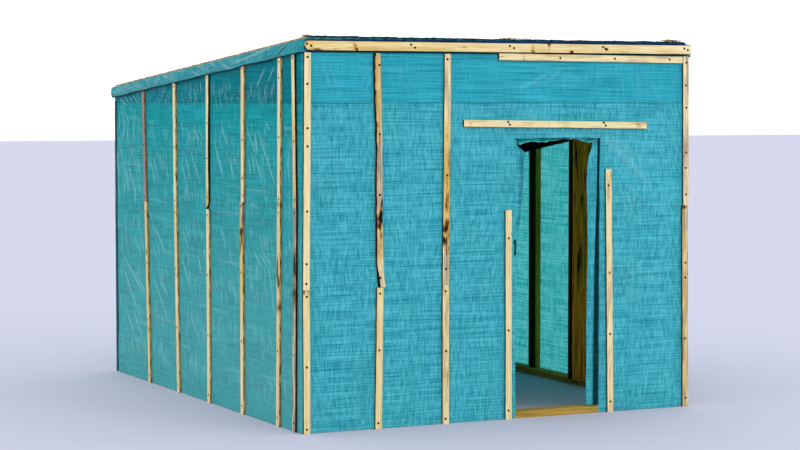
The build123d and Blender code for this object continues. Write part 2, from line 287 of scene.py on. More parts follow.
# the solids of a CAD node, each as its corner points: triangles that share a corner take
# the lowest label among them until nothing changes
def solidsOf(name):
    mesh = nodes[name].data
    places = np.empty(len(mesh.vertices) * 3)
    mesh.vertices.foreach_get("co", places)
    corners = np.empty(len(mesh.polygons) * 3, int)
    mesh.polygons.foreach_get("vertices", corners)
    points, at = np.unique(places.reshape(-1, 3).round(5), axis=0, return_inverse=True)
    triangles = at.reshape(-1)[corners].reshape(-1, 3)
    label = np.arange(len(points))
    while True:
        before, lowest = label.copy(), label[triangles].min(1)
        for k in range(3):
            np.minimum.at(label, triangles[:, k], lowest)
        if (label == before).all():
            return [points[label == one] for one in np.unique(label)]


underLow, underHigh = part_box("roof_under_sheet")
underThick = 0.003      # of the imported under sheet
halfDepth = 1.525       # of the timber frame
roofFall = (underLow.z - underHigh.z + underThick) / (underHigh.y - underLow.y)


# the top of the roof's strapping: a plane that falls evenly from front to back
def roofHigh(y):
    return underHigh.z - underThick + roofFall * (y - underLow.y)


# the weave's layers: weight, cells per metre across and up, detail, and whether they are
# the upright tapes; then its marks: cells per metre across and up, detail, distortion
wovenSheet = {
    "layers": [(0.36, 3.5, 165, 0, False), (0.16, 0.9, 34, 2, False),
               (0.44, 105, 15, 1, True), (0.16, 34, 3, 2, True)],  # tapes drawn 3x coarse
    "reach": 0.115,                 # how far the layers swing from their mean
    "picks": (1.1, 80, 1, 0),       # thin dark yarns across, where it is between these
    "pickFrom": (0.64, 0.74), "pickDark": 0.09,
    "crinkles": (46, 7, 1.5, 0.6),  # wavering upright wrinkles, along these levels of it
    "crinkleAt": (0.5, 0.535), "crinkleWide": 0.016, "crinkleHigh": 0.085,
    "patches": (9, 9, 1, 0), "patchFrom": (0.42, 0.62),     # where the crinkles show
    "clouds": (3.2, 3.2, 3, 0), "cloudShade": (0.92, 1.06),     # broad uneven shade
    "calm": 0.35,                   # share of the upright tapes that shows above the seam
    "seamHigh": 1.77,               # two widths of cloth overlap above it
    "seamWide": 0.004, "seamDark": 0.4, "seamColour": "#0B5A62",
    "dustFrom": 1.7, "dustFull": 0.4,       # heights
    "creased": 0.43,                # how much of its pale colour a full crease takes
    # the colours of painted shade, in front and in the glow behind
    "paintedShadeColour": "#00262E", "paintedShadeBehind": "#02181A", "roughness": 0.5, "ior": 1.15,
    "bumpStrength": 0.4, "bumpHigh": 0.004,
}


# Woven polyethylene sheet, laminated: flat tapes crossing, a dull plastic sheen, creases
# that stay whitish and are partly painted highlight, and enough light coming through to glow
# from behind. The layers of noise are added up about their mean, dark picks and crinkles
# are added, and the sum picks the colour between two; colours are then laid over it one by
# one, the last being painted shade
def wovenMaterial(name, low, high, pale, behind, glowing, dusty=0.0, shine=0.5):
    material, node = startMaterial(name)
    cloth = wovenSheet
    chart = node("UVMap", uv_map="chart")
    up = node("SeparateXYZ", (chart,), out=1)
    above = node("MapRange", (up, cloth["seamHigh"] - 0.002, cloth["seamHigh"] + 0.004))
    kept = node("Math", (above, cloth["calm"] - 1, 1.0), operation="MULTIPLY_ADD")
    kinds = [(*layer[1:4], 0.5 * layer[4]) for layer in cloth["layers"]]
    kinds += [cloth[k] for k in ("picks", "crinkles", "patches", "clouds")]
    *weave, pick, wander, some, cloud = [node("TexNoise", {
        "Vector": node("Mapping", {"Vector": chart, "Scale": (across, upright, 1)}),
        "Scale": 1.0, "Detail": detail, "Distortion": bend})
        for across, upright, detail, bend in kinds]
    sums = [-0.5 * sum(layer[0] for layer in cloth["layers"] if layer[4] == tape)
            for tape in (False, True)]
    for (weight, *_, tape), noise in zip(cloth["layers"], weave):
        sums[tape] = node("Math", (noise, weight, sums[tape]), operation="MULTIPLY_ADD")
    height = node("Math", (sums[1], kept, sums[0]), operation="MULTIPLY_ADD")
    picked = node("MapRange", (pick, *cloth["pickFrom"], 0, cloth["pickDark"]))
    height = node("Math", (height, picked), operation="SUBTRACT")
    patchy = node("MapRange", (some, *cloth["patchFrom"]))
    patchy = node("Math", (patchy, kept), operation="MULTIPLY")
    # the crinkles' ridge and trough go into the tone as well as the bump: their light and
    # dark lines are painted shading
    ridge, trough = [node("Math", (wander, level, cloth["crinkleWide"]),
                          operation="COMPARE") for level in cloth["crinkleAt"]]
    wrinkle = node("Math", (ridge, trough), operation="SUBTRACT")
    wrinkle = node("Math", (wrinkle, patchy), operation="MULTIPLY")
    height = node("Math", (wrinkle, cloth["crinkleHigh"], height),
                  operation="MULTIPLY_ADD")
    tone = node("MapRange", (height, -cloth["reach"], cloth["reach"]))
    colour, upper, glow = [node("Mix", {0: tone, 6: linear(a), 7: linear(b)}, out=2,
                                data_type="RGBA") for a, b in (low, high, behind)]
    seam = node("Math", (up, cloth["seamHigh"], cloth["seamWide"]), operation="COMPARE")
    seam = node("Math", (seam, cloth["seamDark"]), operation="MULTIPLY")
    dust = node("MapRange", (up, cloth["dustFrom"], cloth["dustFull"], 0, dusty))
    shade = node("MapRange", (cloud, 0.3, 0.7, *cloth["cloudShade"]))
    # the fold attribute marks painted shade; it is laid over last, in front and behind
    crease, fold = [node("Attribute", attribute_name=k, out=2) for k in ("crease", "fold")]
    # pale over creases, partly the whitening of creased tape and partly painted highlight,
    # plus dust
    whiteningHighlightAndDust = node("Math", (crease, cloth["creased"], dust), operation="MULTIPLY_ADD")
    for share, over, way in (
            (above, upper, "MIX"), (seam, linear(cloth["seamColour"]), "MIX"),
            (1.0, shade, "MULTIPLY"), (whiteningHighlightAndDust, linear(pale), "MIX"),
            (fold, linear(cloth["paintedShadeColour"]), "MIX")):
        colour = node("Mix", {0: share, 6: colour, 7: over}, out=2, data_type="RGBA",
                      blend_type=way)
    glow = node("Mix", {0: fold, 6: glow, 7: linear(cloth["paintedShadeBehind"])}, out=2,
                data_type="RGBA")
    bump = node("Bump", {"Height": height, "Strength": cloth["bumpStrength"],
                         "Distance": cloth["bumpHigh"]})
    front = node("BsdfPrincipled", {
        "Base Color": colour, "Roughness": cloth["roughness"], "IOR": cloth["ior"],
        "Specular IOR Level": shine, "Normal": bump})
    back = node("BsdfTranslucent", {"Color": glow, "Normal": bump})
    node("OutputMaterial", (node("MixShader", (glowing, front, back)),))
    return material


# Sawn spruce lath: pale cream with straw coloured grain along it, yellow where resin is,
# grey-brown where weathered, nearly black where bark and stains are and where shade is
# painted along one side. Fine and coarse grain are added; patchy noise shifts the tint and
# the weathering, blotches the stains and the painted shade
def lathMaterial():
    material, node = startMaterial("sawn spruce lath")
    chart = node("UVMap", uv_map="chart")
    tint, weathered, stain = [node("Attribute", attribute_name=k, out=2)
                              for k in ("tint", "weathered", "stain")]
    grain, streak, blotch, patch = [node("TexNoise", {
        "Vector": node("Mapping", {"Vector": chart, "Scale": (along, across, 1)}),
        "Scale": 1.0, "Detail": detail, "Roughness": 0.62})
        for along, across, detail in ((7, 420, 3), (2.5, 110, 2), (17, 150, 4), (5, 45, 2))]
    fibre = node("Math", (grain, streak), operation="ADD")
    grained = node("MapRange", (fibre, 0.72, 1.28))
    fresh, golden, grey = [
        node("Mix", {0: grained, 6: linear(pale), 7: linear(deep)}, out=2, data_type="RGBA")
        for pale, deep in (("#F2E6B6", "#D8C188"), ("#E9CB70", "#B98C40"),
                           ("#AC9C94", "#70604F"))]
    uneven = node("MapRange", (patch, 0.3, 0.7, -0.3, 0.3))
    tinted = node("Math", (tint, uneven), operation="ADD", use_clamp=True)
    greyed = node("Math", (weathered, uneven), operation="ADD")
    greyed = node("MapRange", (greyed, 0.25, 0.75))
    flecks = node("Math", (blotch, 1.7, -0.35), operation="MULTIPLY_ADD")
    broken = node("Math", (stain, flecks), operation="ADD")
    dirty, black = [node("MapRange", (broken, low, high))
                    for low, high in ((0.78, 1.12), (0.95, 1.3))]
    dark = node("Mix", {0: black, 6: linear("#A5691E"), 7: linear("#120B05")}, out=2,
                data_type="RGBA")
    colour = fresh
    for share, over in ((tinted, golden), (greyed, grey), (dirty, dark)):
        colour = node("Mix", {0: share, 6: colour, 7: over}, out=2, data_type="RGBA")
    endMaterial(node, fibre, 0.4, 0.0015, {"Base Color": colour, "Roughness": 0.72,
                                           "IOR": 1.45, "Specular IOR Level": 0.15})
    return material


# Timber left in the frame: grain runs along the named axis; cracks open as dark streaks,
# and faces nearer the middle of the hut than `inner` are painted nearly black as shade
def timberMaterial(name, axis, light, dark, crack, cracked=0.66, inner=0.0):
    material, node = startMaterial(name)
    place = node("TexCoord", out=3)
    grain, rings, split, knots = [node("TexNoise", {
        "Vector": node("Mapping", {
            "Vector": place, "Scale": [along if k == axis else across for k in range(3)]}),
        "Scale": 1.0, "Detail": detail, "Roughness": 0.6})
        for along, across, detail in ((5, 330, 3), (1.6, 62, 2), (3.2, 75, 3), (11, 26, 2))]
    fibre = node("Math", (grain, rings), operation="ADD")
    grained, cracks, spots = [node("MapRange", ends) for ends in (
        (fibre, 0.75, 1.25), (split, cracked, cracked + 0.04), (knots, 0.72, 0.76))]
    opened = node("Math", (cracks, spots), operation="MAXIMUM")
    apart = node("Math", (node("SeparateXYZ", (place,)),), operation="ABSOLUTE")
    # painted shade: points nearer the middle than `inner` go nearly black
    shadedFaces = node("Math", (apart, inner), operation="LESS_THAN")
    shadedFaces = node("Math", (shadedFaces, 0.94), operation="MULTIPLY")
    colour = linear(light)
    for share, over in ((grained, dark), (opened, crack), (shadedFaces, "#080804")):
        colour = node("Mix", {0: share, 6: colour, 7: linear(over)}, out=2,
                      data_type="RGBA")
    rough = node("Math", (fibre, opened), operation="SUBTRACT")
    endMaterial(node, rough, 0.5, 0.002, {"Base Color": colour, "Roughness": 0.85,
                                          "IOR": 1.15})
    return material


# Small speckled things: one noise of this scale picks the colour and lifts the surface
def speckledMaterial(name, scale, ramp, strength, ior, shine):
    material, node = startMaterial(name)
    speckle = node("TexNoise", {"Vector": node("TexCoord", out=3), "Scale": scale,
                                "Detail": 2})
    endMaterial(node, speckle, strength, 0.0005, {
        "Base Color": node("ValToRGB", (speckle,), ramp=ramp), "Roughness": 0.7,
        "IOR": ior, "Specular IOR Level": shine})
    return material


# one teal sheet in lit and shaded copies: the front's colours carry painted sunlight, the
# left's painted shade, the far sides' a brighter painted glow behind, the roof's a darker
# tone
frontCloth = wovenMaterial("teal woven sheet, sunny side", ("#289CAE", "#5ED0DE"),
                           ("#1D9BB1", "#46CADA"), "#A2DDEA", ("#1FB4BC", "#57E0E0"), 0.3)
leftCloth = wovenMaterial("teal woven sheet, shaded side", ("#088185", "#1EA6A8"),
                          ("#006670", "#0A878F"), "#B8E8E4", ("#128C8C", "#3CBEBE"), 0.08,
                          dusty=0.13, shine=0.08)
rightCloth = wovenMaterial("teal woven sheet, far side", ("#12A0A6", "#48C8CE"),
                           ("#048A96", "#26B4C0"), "#C8F0EE", ("#10BDBB", "#78F6F0"), 0.5)
roofCloth = wovenMaterial("teal woven sheet, roof", ("#138F98", "#44B8C0"),
                          ("#138F98", "#44B8C0"), "#C8F0EE", ("#1FA8B0", "#4FD4D6"), 0.3)
navyCloth = wovenMaterial("navy woven sheet", ("#0C1D52", "#1F3D86"),
                          ("#0C1D52", "#1F3D86"), "#5A74B4", ("#0A1B4A", "#16306E"), 0.2)
lathWood = lathMaterial()
timber = [timberMaterial(f"planed spruce, grain along {name}", axis, "#BFA04C", "#806428",
                         "#241A0C") for axis, name in enumerate("xyz")]
innerFaces = {name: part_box(name)[0].x + 0.001 for name in ("right_studs", "rough_post")}
# the inner faces of the studs and the post are painted nearly black as shade
studTimber = timberMaterial("spruce stud, inner faces painted shaded", 2, "#B09A2E", "#7A6818", "#1C1606",
                            inner=innerFaces["right_studs"])
roughTimber = timberMaterial("rough sawn post", 2, "#FF841C", "#804C10", "#0C0703",
                             cracked=0.56, inner=innerFaces["rough_post"])
# the rail is painted nearly black all over as shade
railTimber = timberMaterial("spruce rail, painted shaded", 1, "#4A3A18", "#241A0A", "#0C0904",
                            inner=cadHigh.x)
# wire nail heads, rusted nearly black; splinters and straw caught on the roof's edge
nailIron = speckledMaterial("rusted nail head", 420.0, [(0, "#050403"), (1, "#241208")],
                            0.3, 1.2, 0.2)
straw = speckledMaterial("dry straw", 60.0, [(0.35, "#5A3414"), (0.5, "#A9702C"),
                                             (0.7, "#D8AC62")], 0.2, 1.45, 0.5)
print("finishes made")

grainAlong = {
    0: ("front_back_base_plates", "front_top_rail", "back_top_rail", "door_header",
        "roof_strapping", "back_edge_board"),
    1: ("side_base_plates", "side_top_rails", "rafters", "side_edge_boards"),
    2: ("corner_posts", "front_studs", "door_studs", "back_studs"),
}
for axis, names in grainAlong.items():
    for name in names:
        nodes[name].data.materials[0] = timber[axis]
for name, wood in (("rough_post", roughTimber), ("side_inner_rails", railTimber),
                   ("left_studs", studTimber), ("right_studs", studTimber)):
    nodes[name].data.materials[0] = wood

lathShape = {
    "ring": 0.012, "chamfer": 0.0012, "waver": 0.0009,
    "nailRadius": 0.0066, "nailProud": 0.0011, "nailEnd": 0.032, "nailGap": 0.36,
    "nailRust": 0.008,      # how far rust has run round a nail
}
# each look: tint (0 fresh to 1 golden) and weathered, each one value or (distance, value)
# pairs; stains as (distance from the lower or left end, reach, strength) with the place
# across and its half width if they don't cover the whole width; insets of the two edges
# as (distance, inset) pairs; how dark the painted shade along its one side is
looks = {
    "corner_battens": [
        {"tint": 0.3, "stains": [(0.76, 0.02, 0.5), (0.05, 0.05, 0.3)]},
        {"tint": 0.04, "nails": [0.034, 0.141, 0.42, 0.767, 0.863, 1.099, 1.24],
         "stains": [(0.93, 0.03, 0.4, 0.8, 0.12)]},
        {"tint": 0.8, "weathered": 0.42, "nails": [0.05, 0.4, 0.754, 0.841],
         "stains": [(1.165, 0.012, 0.9, 0.4, 0.5), (0.85, 0.28, 0.5, 0.95, 0.2),
                    (0.3, 0.2, 0.3, 0.9, 0.2)]},
        {"tint": 0.05, "weathered": 0.42,
         "nails": [0.064, 0.2175, 0.306, 0.567, 0.696, 0.8266]}],
    "front_battens_lower": [
        {"tint": 0.35, "stains": [(0.55, 0.03, 0.25)]},
        {"tint": 0.3, "weathered": 0.32,
         "stains": [(0.6, 0.04, 0.4, 0.6, 0.4), (0.28, 0.06, 0.35)]}],
    "front_battens_upper": [
        {"tint": [(0, 0.15), (0.2, 0.3), (0.28, 0.8), (0.6, 1.0), (0.85, 0.65), (1.0, 0.1)],
         "weathered": [(0, 0.42), (0.2, 0.5), (0.26, 0.25), (0.8, 0.25), (1.0, 0.38)],
         "nails": [0.087, 0.6, 1.236],
         "stains": [(0.308, 0.035, 1.0, 0.4, 0.5), (0.241, 0.035, 1.0, 0.3, 0.45),
                    (0.275, 0.03, 0.7, 0.75, 0.3), (0.342, 0.03, 0.85, 0.6, 0.45),
                    (0.19, 0.035, 0.7, 0.6, 0.4), (0.45, 0.08, 0.75, 0.6, 0.4),
                    (0.57, 0.06, 0.6, 0.5, 0.35), (0.68, 0.1, 0.6, 0.9, 0.2),
                    (0.819, 0.01, 0.7, 0.4, 0.25), (0.795, 0.012, 0.65, 0.4, 0.25)]}],
    "door_battens": [
        {"tint": 0.25, "nails": [0.05, 0.5, 1.017],
         "stains": [(0.95, 0.2, 0.3, 0.9, 0.15)]},
        {"tint": 0.12, "weathered": 0.24, "nails": [0.06, 0.45, 1.3],
         "stains": [(1.36, 0.03, 0.5, 0.85, 0.25), (0.8, 0.01, 0.8, 0.5, 0.2),
                    (0.73, 0.05, 0.45, 0.5, 0.3), (1.24, 0.06, 0.4, 0.6, 0.2)]}],
    "left_battens_lower": [
        {"weathered": [(0.7, 0.6), (0.9, 0.7), (1.2, 0.9)], "tint": 0.3, "sideDark": 0.9,
         "nails": [0.05, 0.42, 0.8, 1.182],
         "stains": [(0.905, 0.075, 1.35, 0.35, 0.35), (0.9, 0.09, 1.2, 1.0, 0.2),
                    (0.74, 0.1, 0.65)]},
        {"tint": 0.45, "weathered": 0.1, "nails": [0.05, 0.42, 0.78, 1.174],
         "stains": [(0.86, 0.1, 0.85, 0.7, 0.35), (0.8, 0.05, 1.0, 0.4, 0.35),
                    (0.66, 0.06, 0.55)]},
        {"tint": [(0.5, 0.1), (0.75, 0.8), (1.0, 0.85), (1.1, 0.4)],
         "weathered": [(0.9, 0.05), (1.06, 0.45), (1.2, 0.55)],
         "nails": [0.05, 0.42, 0.81, 1.188],
         "stains": [(1.04, 0.03, 1.25, 0.5, 0.5), (1.0, 0.06, 0.85, 0.4, 0.4),
                    (1.1, 0.05, 0.6, 0.3, 0.3), (0.95, 0.06, 0.7, 0.9, 0.3)]},
        {"tint": 0.05, "weathered": 0.15, "nails": [0.05, 0.4, 0.76, 1.113]},
        {"tint": [(0.7, 0.2), (0.95, 0.5)], "nails": [0.05, 0.4, 0.76, 1.103],
         "stains": [(0.72, 0.02, 0.45), (0.3, 0.03, 0.35)]},
        {"tint": 0.6, "nails": [0.05, 0.4, 0.76, 1.084],
         "stains": [(0.83, 0.03, 0.65, 0.5, 0.4), (0.34, 0.03, 0.4)]}],
    "left_battens_upper": [
        {"tint": [(0, 0.9), (0.3, 0.6), (0.6, 0.3)], "sideDark": 0.95,
         "nails": [0.046, 0.358, 0.805],
         "stains": [(0.04, 0.05, 0.55, 0.4, 0.4), (0.3, 0.2, 0.5, 0.9, 0.15)]},
        {"tint": 0.2, "nails": [0.04, 0.378, 0.698, 0.785], "stains": [(0.02, 0.02, 0.45)]},
        {"tint": 0.22, "nails": [0.041, 0.137, 0.353, 0.755],
         "stains": [(0.14, 0.02, 0.55, 0.4, 0.3), (0.05, 0.05, 0.45, 0.6, 0.3)]},
        {"tint": [(0, 1.0), (0.1, 0.9), (0.14, 0.1)], "sideDark": 0.95,
         "nails": [0.069, 0.299, 0.505, 0.769], "left": [(0, 0.028), (0.035, 0)],
         "stains": [(0.0, 0.012, 0.9), (0.36, 0.26, 1.2, 0.0, 0.14)]},
        {"tint": 0.15, "nails": [0.027, 0.352, 0.721],
         "stains": [(0.19, 0.03, 0.5, 0.1, 0.2)]},
        {"tint": 0.1, "weathered": 1.0, "nails": [0.0245, 0.357, 0.69]}],
    "lintel_batten": [{"tint": 0.02, "weathered": 0.12, "nails": [0.283, 0.906],
                       "nailAt": 0.62, "pairs": (0.006, 0.2), "endDark": 1.2,
                       "stains": [(0.04, 0.02, 0.35), (0.54, 0.01, 0.35),
                                  (1.01, 0.03, 0.5, 0.62, 0.15), (1.13, 0.025, 0.4)]}],
    "under_fascia_strip": [{"tint": 0.03, "weathered": 0.2, "nails": [0.391, 0.751, 1.12],
                            "endDark": 1.0,
                            "stains": [(0.158, 0.011, 0.5), (0.02, 0.02, 0.5, 0.6, 0.15)]}],
    "fascia_board": [
        {"tint": [(0, 0.6), (1.0, 0.3), (2.4, 0.15)], "pairs": (0.0125, 0.12),
         "nailAt": 0.58, "roundEnd": 0.02, "nails": [0.022, 0.638, 1.25, 1.852, 2.401],
         "stains": [(0.06, 0.05, 0.65, 0.05, 0.25), (0.29, 0.014, 0.48),
                    (0.3, 0.008, 1.0, 0.15, 0.25), (0.17, 0.03, 0.6, 0.1, 0.12),
                    (0.73, 0.01, 0.35), (0.96, 0.04, 0.6, 0.45, 0.12),
                    (1.383, 0.014, 0.5), (1.49, 0.014, 0.5),
                    (1.484, 0.006, 0.9, 0.9, 0.2), (1.636, 0.01, 1.3, 0.1, 0.25),
                    (1.86, 0.014, 1.2, 0.55, 0.2), (2.214, 0.008, 0.5, 0.4, 0.4)]}],
}


# the eight corners of a lath as [end][back low, back high, front high, front low], with
# the front on its outer side
def lathCorners(points, outward):
    normal = np.array(outward, float)
    spans = points.max(0) - points.min(0)
    spans[np.abs(normal) > 0.5] = 0
    longAxis = int(np.argmax(spans))
    wideAxis = ({0, 1, 2} - {longAxis, int(np.argmax(np.abs(normal)))}).pop()
    if len(points) != 8:
        points = np.array(list(product(*zip(points.min(0), points.max(0)))))
    ordered = points[np.argsort(points[:, longAxis])]
    ends = []
    for end in (ordered[:4], ordered[4:]):
        order = np.argsort(end @ normal)
        back, front = [side[np.argsort(side[:, wideAxis])]
                       for side in (end[order[:2]], end[order[2:]])]
        ends.append([back[0], back[1], front[1], front[0]])
    return np.array(ends)


# where nails go along and across a lath: as its look says, else evenly from end to end
# with a little chance; `pairs` are two nails so far apart along and across
def nailSpots(look, long, draw):
    nails, end = look.get("nails"), lathShape["nailEnd"]
    if nails is None:
        inner = max(0, int((long - 2 * end) / lathShape["nailGap"]))
        nails = np.linspace(end, long - end, inner + 2)
        nails = nails + draw.uniform(-1, 1, len(nails)) * np.where(
            (nails > 0.1) & (nails < long - 0.1), 0.07, 0.008)
    apart, step = look.get("pairs", (0.0, 0.0))
    return [(at + side * apart + draw.uniform(-0.001, 0.001),
             look.get("nailAt", 0.5) + draw.uniform(-0.06, 0.06) - side * step)
            for at in nails for side in ((-1, 1) if step else (0,))]


# stains with painted shade, tint and weathering of a lath's points: a stain is a bell along
# and across, rust is a bell round each nail, one side has painted shade and the ends have
# their own darkening, and the strongest one counts
def lathMarks(look, along, a, b, wide, spots, sideDark):
    stain = np.zeros((len(along), len(a)))
    for at, reach, strength, *place in look.get("stains", []):
        middle, half = place or (0.5, 5.0)
        stain = np.maximum(stain, strength * np.exp(
            -((along[:, None] - at) / reach) ** 2 - ((a - middle) / half) ** 2))
    # painted shade along one side of the lath
    stain = np.maximum(stain, look.get("sideDark", sideDark) * (a < 0.01))
    stain[[0, -1]] = np.maximum(stain[[0, -1]], look.get("endDark", 0.0))
    for at, place in spots:
        gap = np.hypot(along[:, None] - at, (a - place) * wide)
        stain = np.maximum(stain, (0.34 + 0.15 * (b > 0.9)) * np.exp(
            -(gap / lathShape["nailRust"]) ** 2))
    tint, weathered = [0 * stain + (through(along, look[k])[:, None] if isinstance(
        look.get(k), list) else look.get(k, 0.0)) for k in ("tint", "weathered")]
    endGrain = softStep(-np.minimum(along, along[-1] - along), -0.02, 0.0) * 0.15
    return {"stain": (stain + endGrain[:, None]).ravel(), "tint": tint.ravel(),
            "weathered": weathered.ravel()}


# a lath: a chamfered section carried between its two ends, straight along, with a slight
# waver of its edges and face, insets where bark is missing, and flat closed ends
def lathPatch(corners, look, seed, sideDark=0.0):
    low, high = corners
    lengthwise, sideways = high.mean(0) - low.mean(0), low[1] - low[0]
    long, wide, thick = [np.linalg.norm(way) for way in (lengthwise, sideways,
                                                         low[3] - low[0])]
    chamfer = lathShape["chamfer"]
    count = max(4, int(long / lathShape["ring"]))
    along = np.concatenate([[0, chamfer], np.linspace(chamfer, long - chamfer,
                                                      count)[1:-1], [long - chamfer, long]])
    cw, ct = chamfer / wide, chamfer / thick
    a = np.array([cw, 1 - cw, 1, 1, 1 - cw, 0.78, 0.5, 0.22, cw, 0, 0])
    b = np.array([0, 0, ct, 1 - ct, 1, 1, 1, 1, 1, 1 - ct, ct])
    shrink = 1 - (np.minimum(along, long - along) < chamfer / 2)[:, None] * 2 * cw
    if look.get("roundEnd"):
        gone = np.clip(1 - along / look["roundEnd"], 0, 1)[:, None]
        shrink = shrink * np.sqrt(np.clip(1 - 0.93 * gone ** 2, 0.02, 1))
    across = 0.5 + (a - 0.5) * shrink
    left, right = [
        through(along, look.get(k, [(0, 0)]))[:, None] / wide
        + np.abs(waves(along, side * 3.0, 0.5, seed + side, 8)[:, None]
                 * lathShape["waver"] * look.get("rough", 1.0) / wide)
        for side, k in enumerate(("left", "right"))]
    edge = np.clip(np.abs(a - 0.5) * 2, 0, 1)
    across = across + np.where(a < 0.5, edge * left, -edge * right)
    weights = np.stack([(1 - across) * (1 - b), across * (1 - b), across * b,
                        (1 - across) * b], -1)
    t = (along / long)[:, None, None]
    points = np.einsum("rsk,rkc->rsc", weights, low * (1 - t) + high * t)

    draw = chance(seed)
    steps = np.linalg.norm(np.diff(np.append(points[1], points[1][:1], 0), axis=0), axis=1)
    girth = np.append(0, np.cumsum(steps)) + draw.uniform(0, 40)
    u = along + draw.uniform(0, 60)
    ring = np.arange(weights[..., 0].size).reshape(across.shape)
    outward = np.cross(lengthwise, sideways)
    way = int(np.sign(outward @ (low[3] - low[0])))     # -1 turns the faces over
    faces = cells(np.append(ring, ring[:, :1], 1)).reshape(-1, 4)[:, ::way].tolist()
    chart = cells(np.stack(np.broadcast_arrays(u[:, None], girth), -1))
    chart = [chart.reshape(-1, 4, 2)[:, ::way].reshape(-1, 2)]
    shift = draw.uniform(0, 30)
    for k, turn in ((0, -way), (-1, way)):
        faces.append(ring[k][::turn].tolist())
        chart.append(np.stack([across[k] * wide, b * thick], -1)[::turn] + shift)

    spots = nailSpots(look, long, draw)
    outward *= way / np.linalg.norm(outward)
    heads = [((low[3] * (1 - p) + low[2] * p) * (1 - at / long)
              + (high[3] * (1 - p) + high[2] * p) * at / long, outward, lengthwise / long)
             for at, p in spots]
    return {"points": points.reshape(-1, 3), "faces": faces,
            "chart": np.concatenate(chart),
            "marks": lathMarks(look, along, a, b, wide, spots, sideDark)}, heads


# nail heads: a ring on the wood, a smaller ring above it and a closed top, for all at once
def nailPatch(heads):
    centre, outward, upright = [np.array(x)[:, None] for x in zip(*heads)]
    turn = np.linspace(0, 2 * np.pi, 10, endpoint=False)[None, :, None]
    circle = np.cos(turn) * upright + np.sin(turn) * np.cross(outward, upright)
    points = np.stack([centre + radius * lathShape["nailRadius"] * circle
                       + rise * lathShape["nailProud"] * outward
                       for radius, rise in ((1.0, -0.3), (1.0, 0.45), (0.72, 0.95))], 1)
    index = np.arange(points[..., 0].size).reshape(points.shape[:3])
    quads = np.stack([index[:, :-1], index[:, 1:], np.roll(index[:, 1:], -1, 2),
                      np.roll(index[:, :-1], -1, 2)], -1).reshape(-1, 4)
    faces = quads.tolist() + index[:, -1, ::-1].tolist() + index[:, 0].tolist()
    count = sum(len(face) for face in faces)
    return {"points": points.reshape(-1, 3), "faces": faces, "chart": np.zeros((count, 2))}


lathSides = {
    (0, -1, 0): ("corner_battens", "front_battens_lower", "front_battens_upper",
                 "door_battens", "lintel_batten", "under_fascia_strip", "fascia_board"),
    (-1, 0, 0): ("left_battens_lower", "left_battens_upper"),
    (1, 0, 0): ("right_battens_lower", "right_battens_upper"),
    (0, 1, 0): ("back_battens_lower", "back_battens_upper"),
    (0, 0, 1): ("roof_laths",),
}
# painted shade along one side of each lath: strongest on the front, weakest on the back
paintedEdgeShade = {-1: 0.9, 0: 0.5, 1: 0.2}        # on the front, the sides and roof, the back
allHeads, lathLines = [], {}
seed = 100
for outward, names in lathSides.items():
    for name in names:
        solids = sorted(solidsOf(name), key=lambda p: (*(p.mean(0)[:2] / 0.15).round(),
                                                      p.mean(0)[2]))
        patches = []
        for k, solid in enumerate(solids):
            seed += 1
            draw = chance(seed)
            look = (looks[name][k] if name in looks else
                    {"tint": draw.uniform(0.05, 0.6),
                     "weathered": draw.choice([0.0, 0.0, 0.15, 0.8]),
                     "stains": [(draw.uniform(0.1, 1.0), draw.uniform(0.02, 0.06),
                                 draw.uniform(0.2, 0.6)) for _ in range(2)]})
            corners = lathCorners(solid, outward)
            patch, heads = lathPatch(corners, look, seed * 7, paintedEdgeShade[outward[1]])
            patches.append(patch)
            allHeads += heads
            lathLines.setdefault(outward, []).append(corners.mean(1))
        first, *others = name.split("_")
        makePiece(first + "".join(word.title() for word in others), patches, lathWood,
                  (name,), smooth=False)

# the bark-edged lath: weathered and bowed, its left half broken away above the foot, where
# a thin dark layer of it is left on the sheet, dark both as dirt and as painted shadow of the
# gap
low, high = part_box("wany_batten")
box = np.array(list(product(*zip(low, high))))
corners = lathCorners(box, (0, -1, 0))
wanyLook = {
    "tint": [(0, 0.0), (0.1, 0.2), (0.2, 0.8), (0.36, 0.7), (0.42, 0.3), (0.75, 0.5),
             (0.9, 0.8)],
    "weathered": [(0, 0.35), (0.08, 0.42), (0.15, 0.3), (0.3, 0.3), (0.4, 0.5),
                  (0.5, 0.66), (0.66, 0.66), (0.78, 0.5), (0.95, 0.33)],
    "rough": 1.6, "sideDark": 1.3, "nails": [0.05, 0.5, 0.828, 1.2], "nailAt": 0.48,
    "stains": [(0.385, 0.045, 1.35, 0.75, 0.45), (0.335, 0.03, 1.1, 0.5, 0.3),
               (0.45, 0.04, 0.95, 0.85, 0.3), (0.27, 0.04, 0.65, 0.7, 0.35),
               (0.22, 0.1, 0.5, 0.7, 0.4), (0.62, 0.1, 0.4, 0.9, 0.2),
               (0.8, 0.06, 0.6, 0.6, 0.25), (0.86, 0.05, 0.7, 0.15, 0.15),
               (1.035, 0.012, 0.6, 0.6, 0.3), (1.06, 0.01, 0.5, 0.4, 0.3),
               (1.19, 0.008, 0.6, 0.4, 0.2), (0.65, 3.0, 1.1, 0.0, 0.06)],
    "left": [(0, 0.04), (0.04, 0.0325), (0.075, 0.028), (0.092, 0.02),
             (0.13, 0.0165), (0.2, 0.0145), (0.55, 0.0125), (0.69, 0.014),
             (0.735, 0.0178), (0.8, 0.0125), (0.87, 0.012), (1.0, 0.0055),
             (1.2, 0.0005), (1.265, 0.0015)],
    "right": [(0, 0.0), (0.04, 0.0068), (0.085, 0.0112), (0.16, 0.0145),
              (0.35, 0.018), (0.55, 0.0165), (0.64, 0.0182), (0.9, 0.0222),
              (1.2, 0.029), (1.265, 0.0315)],
}
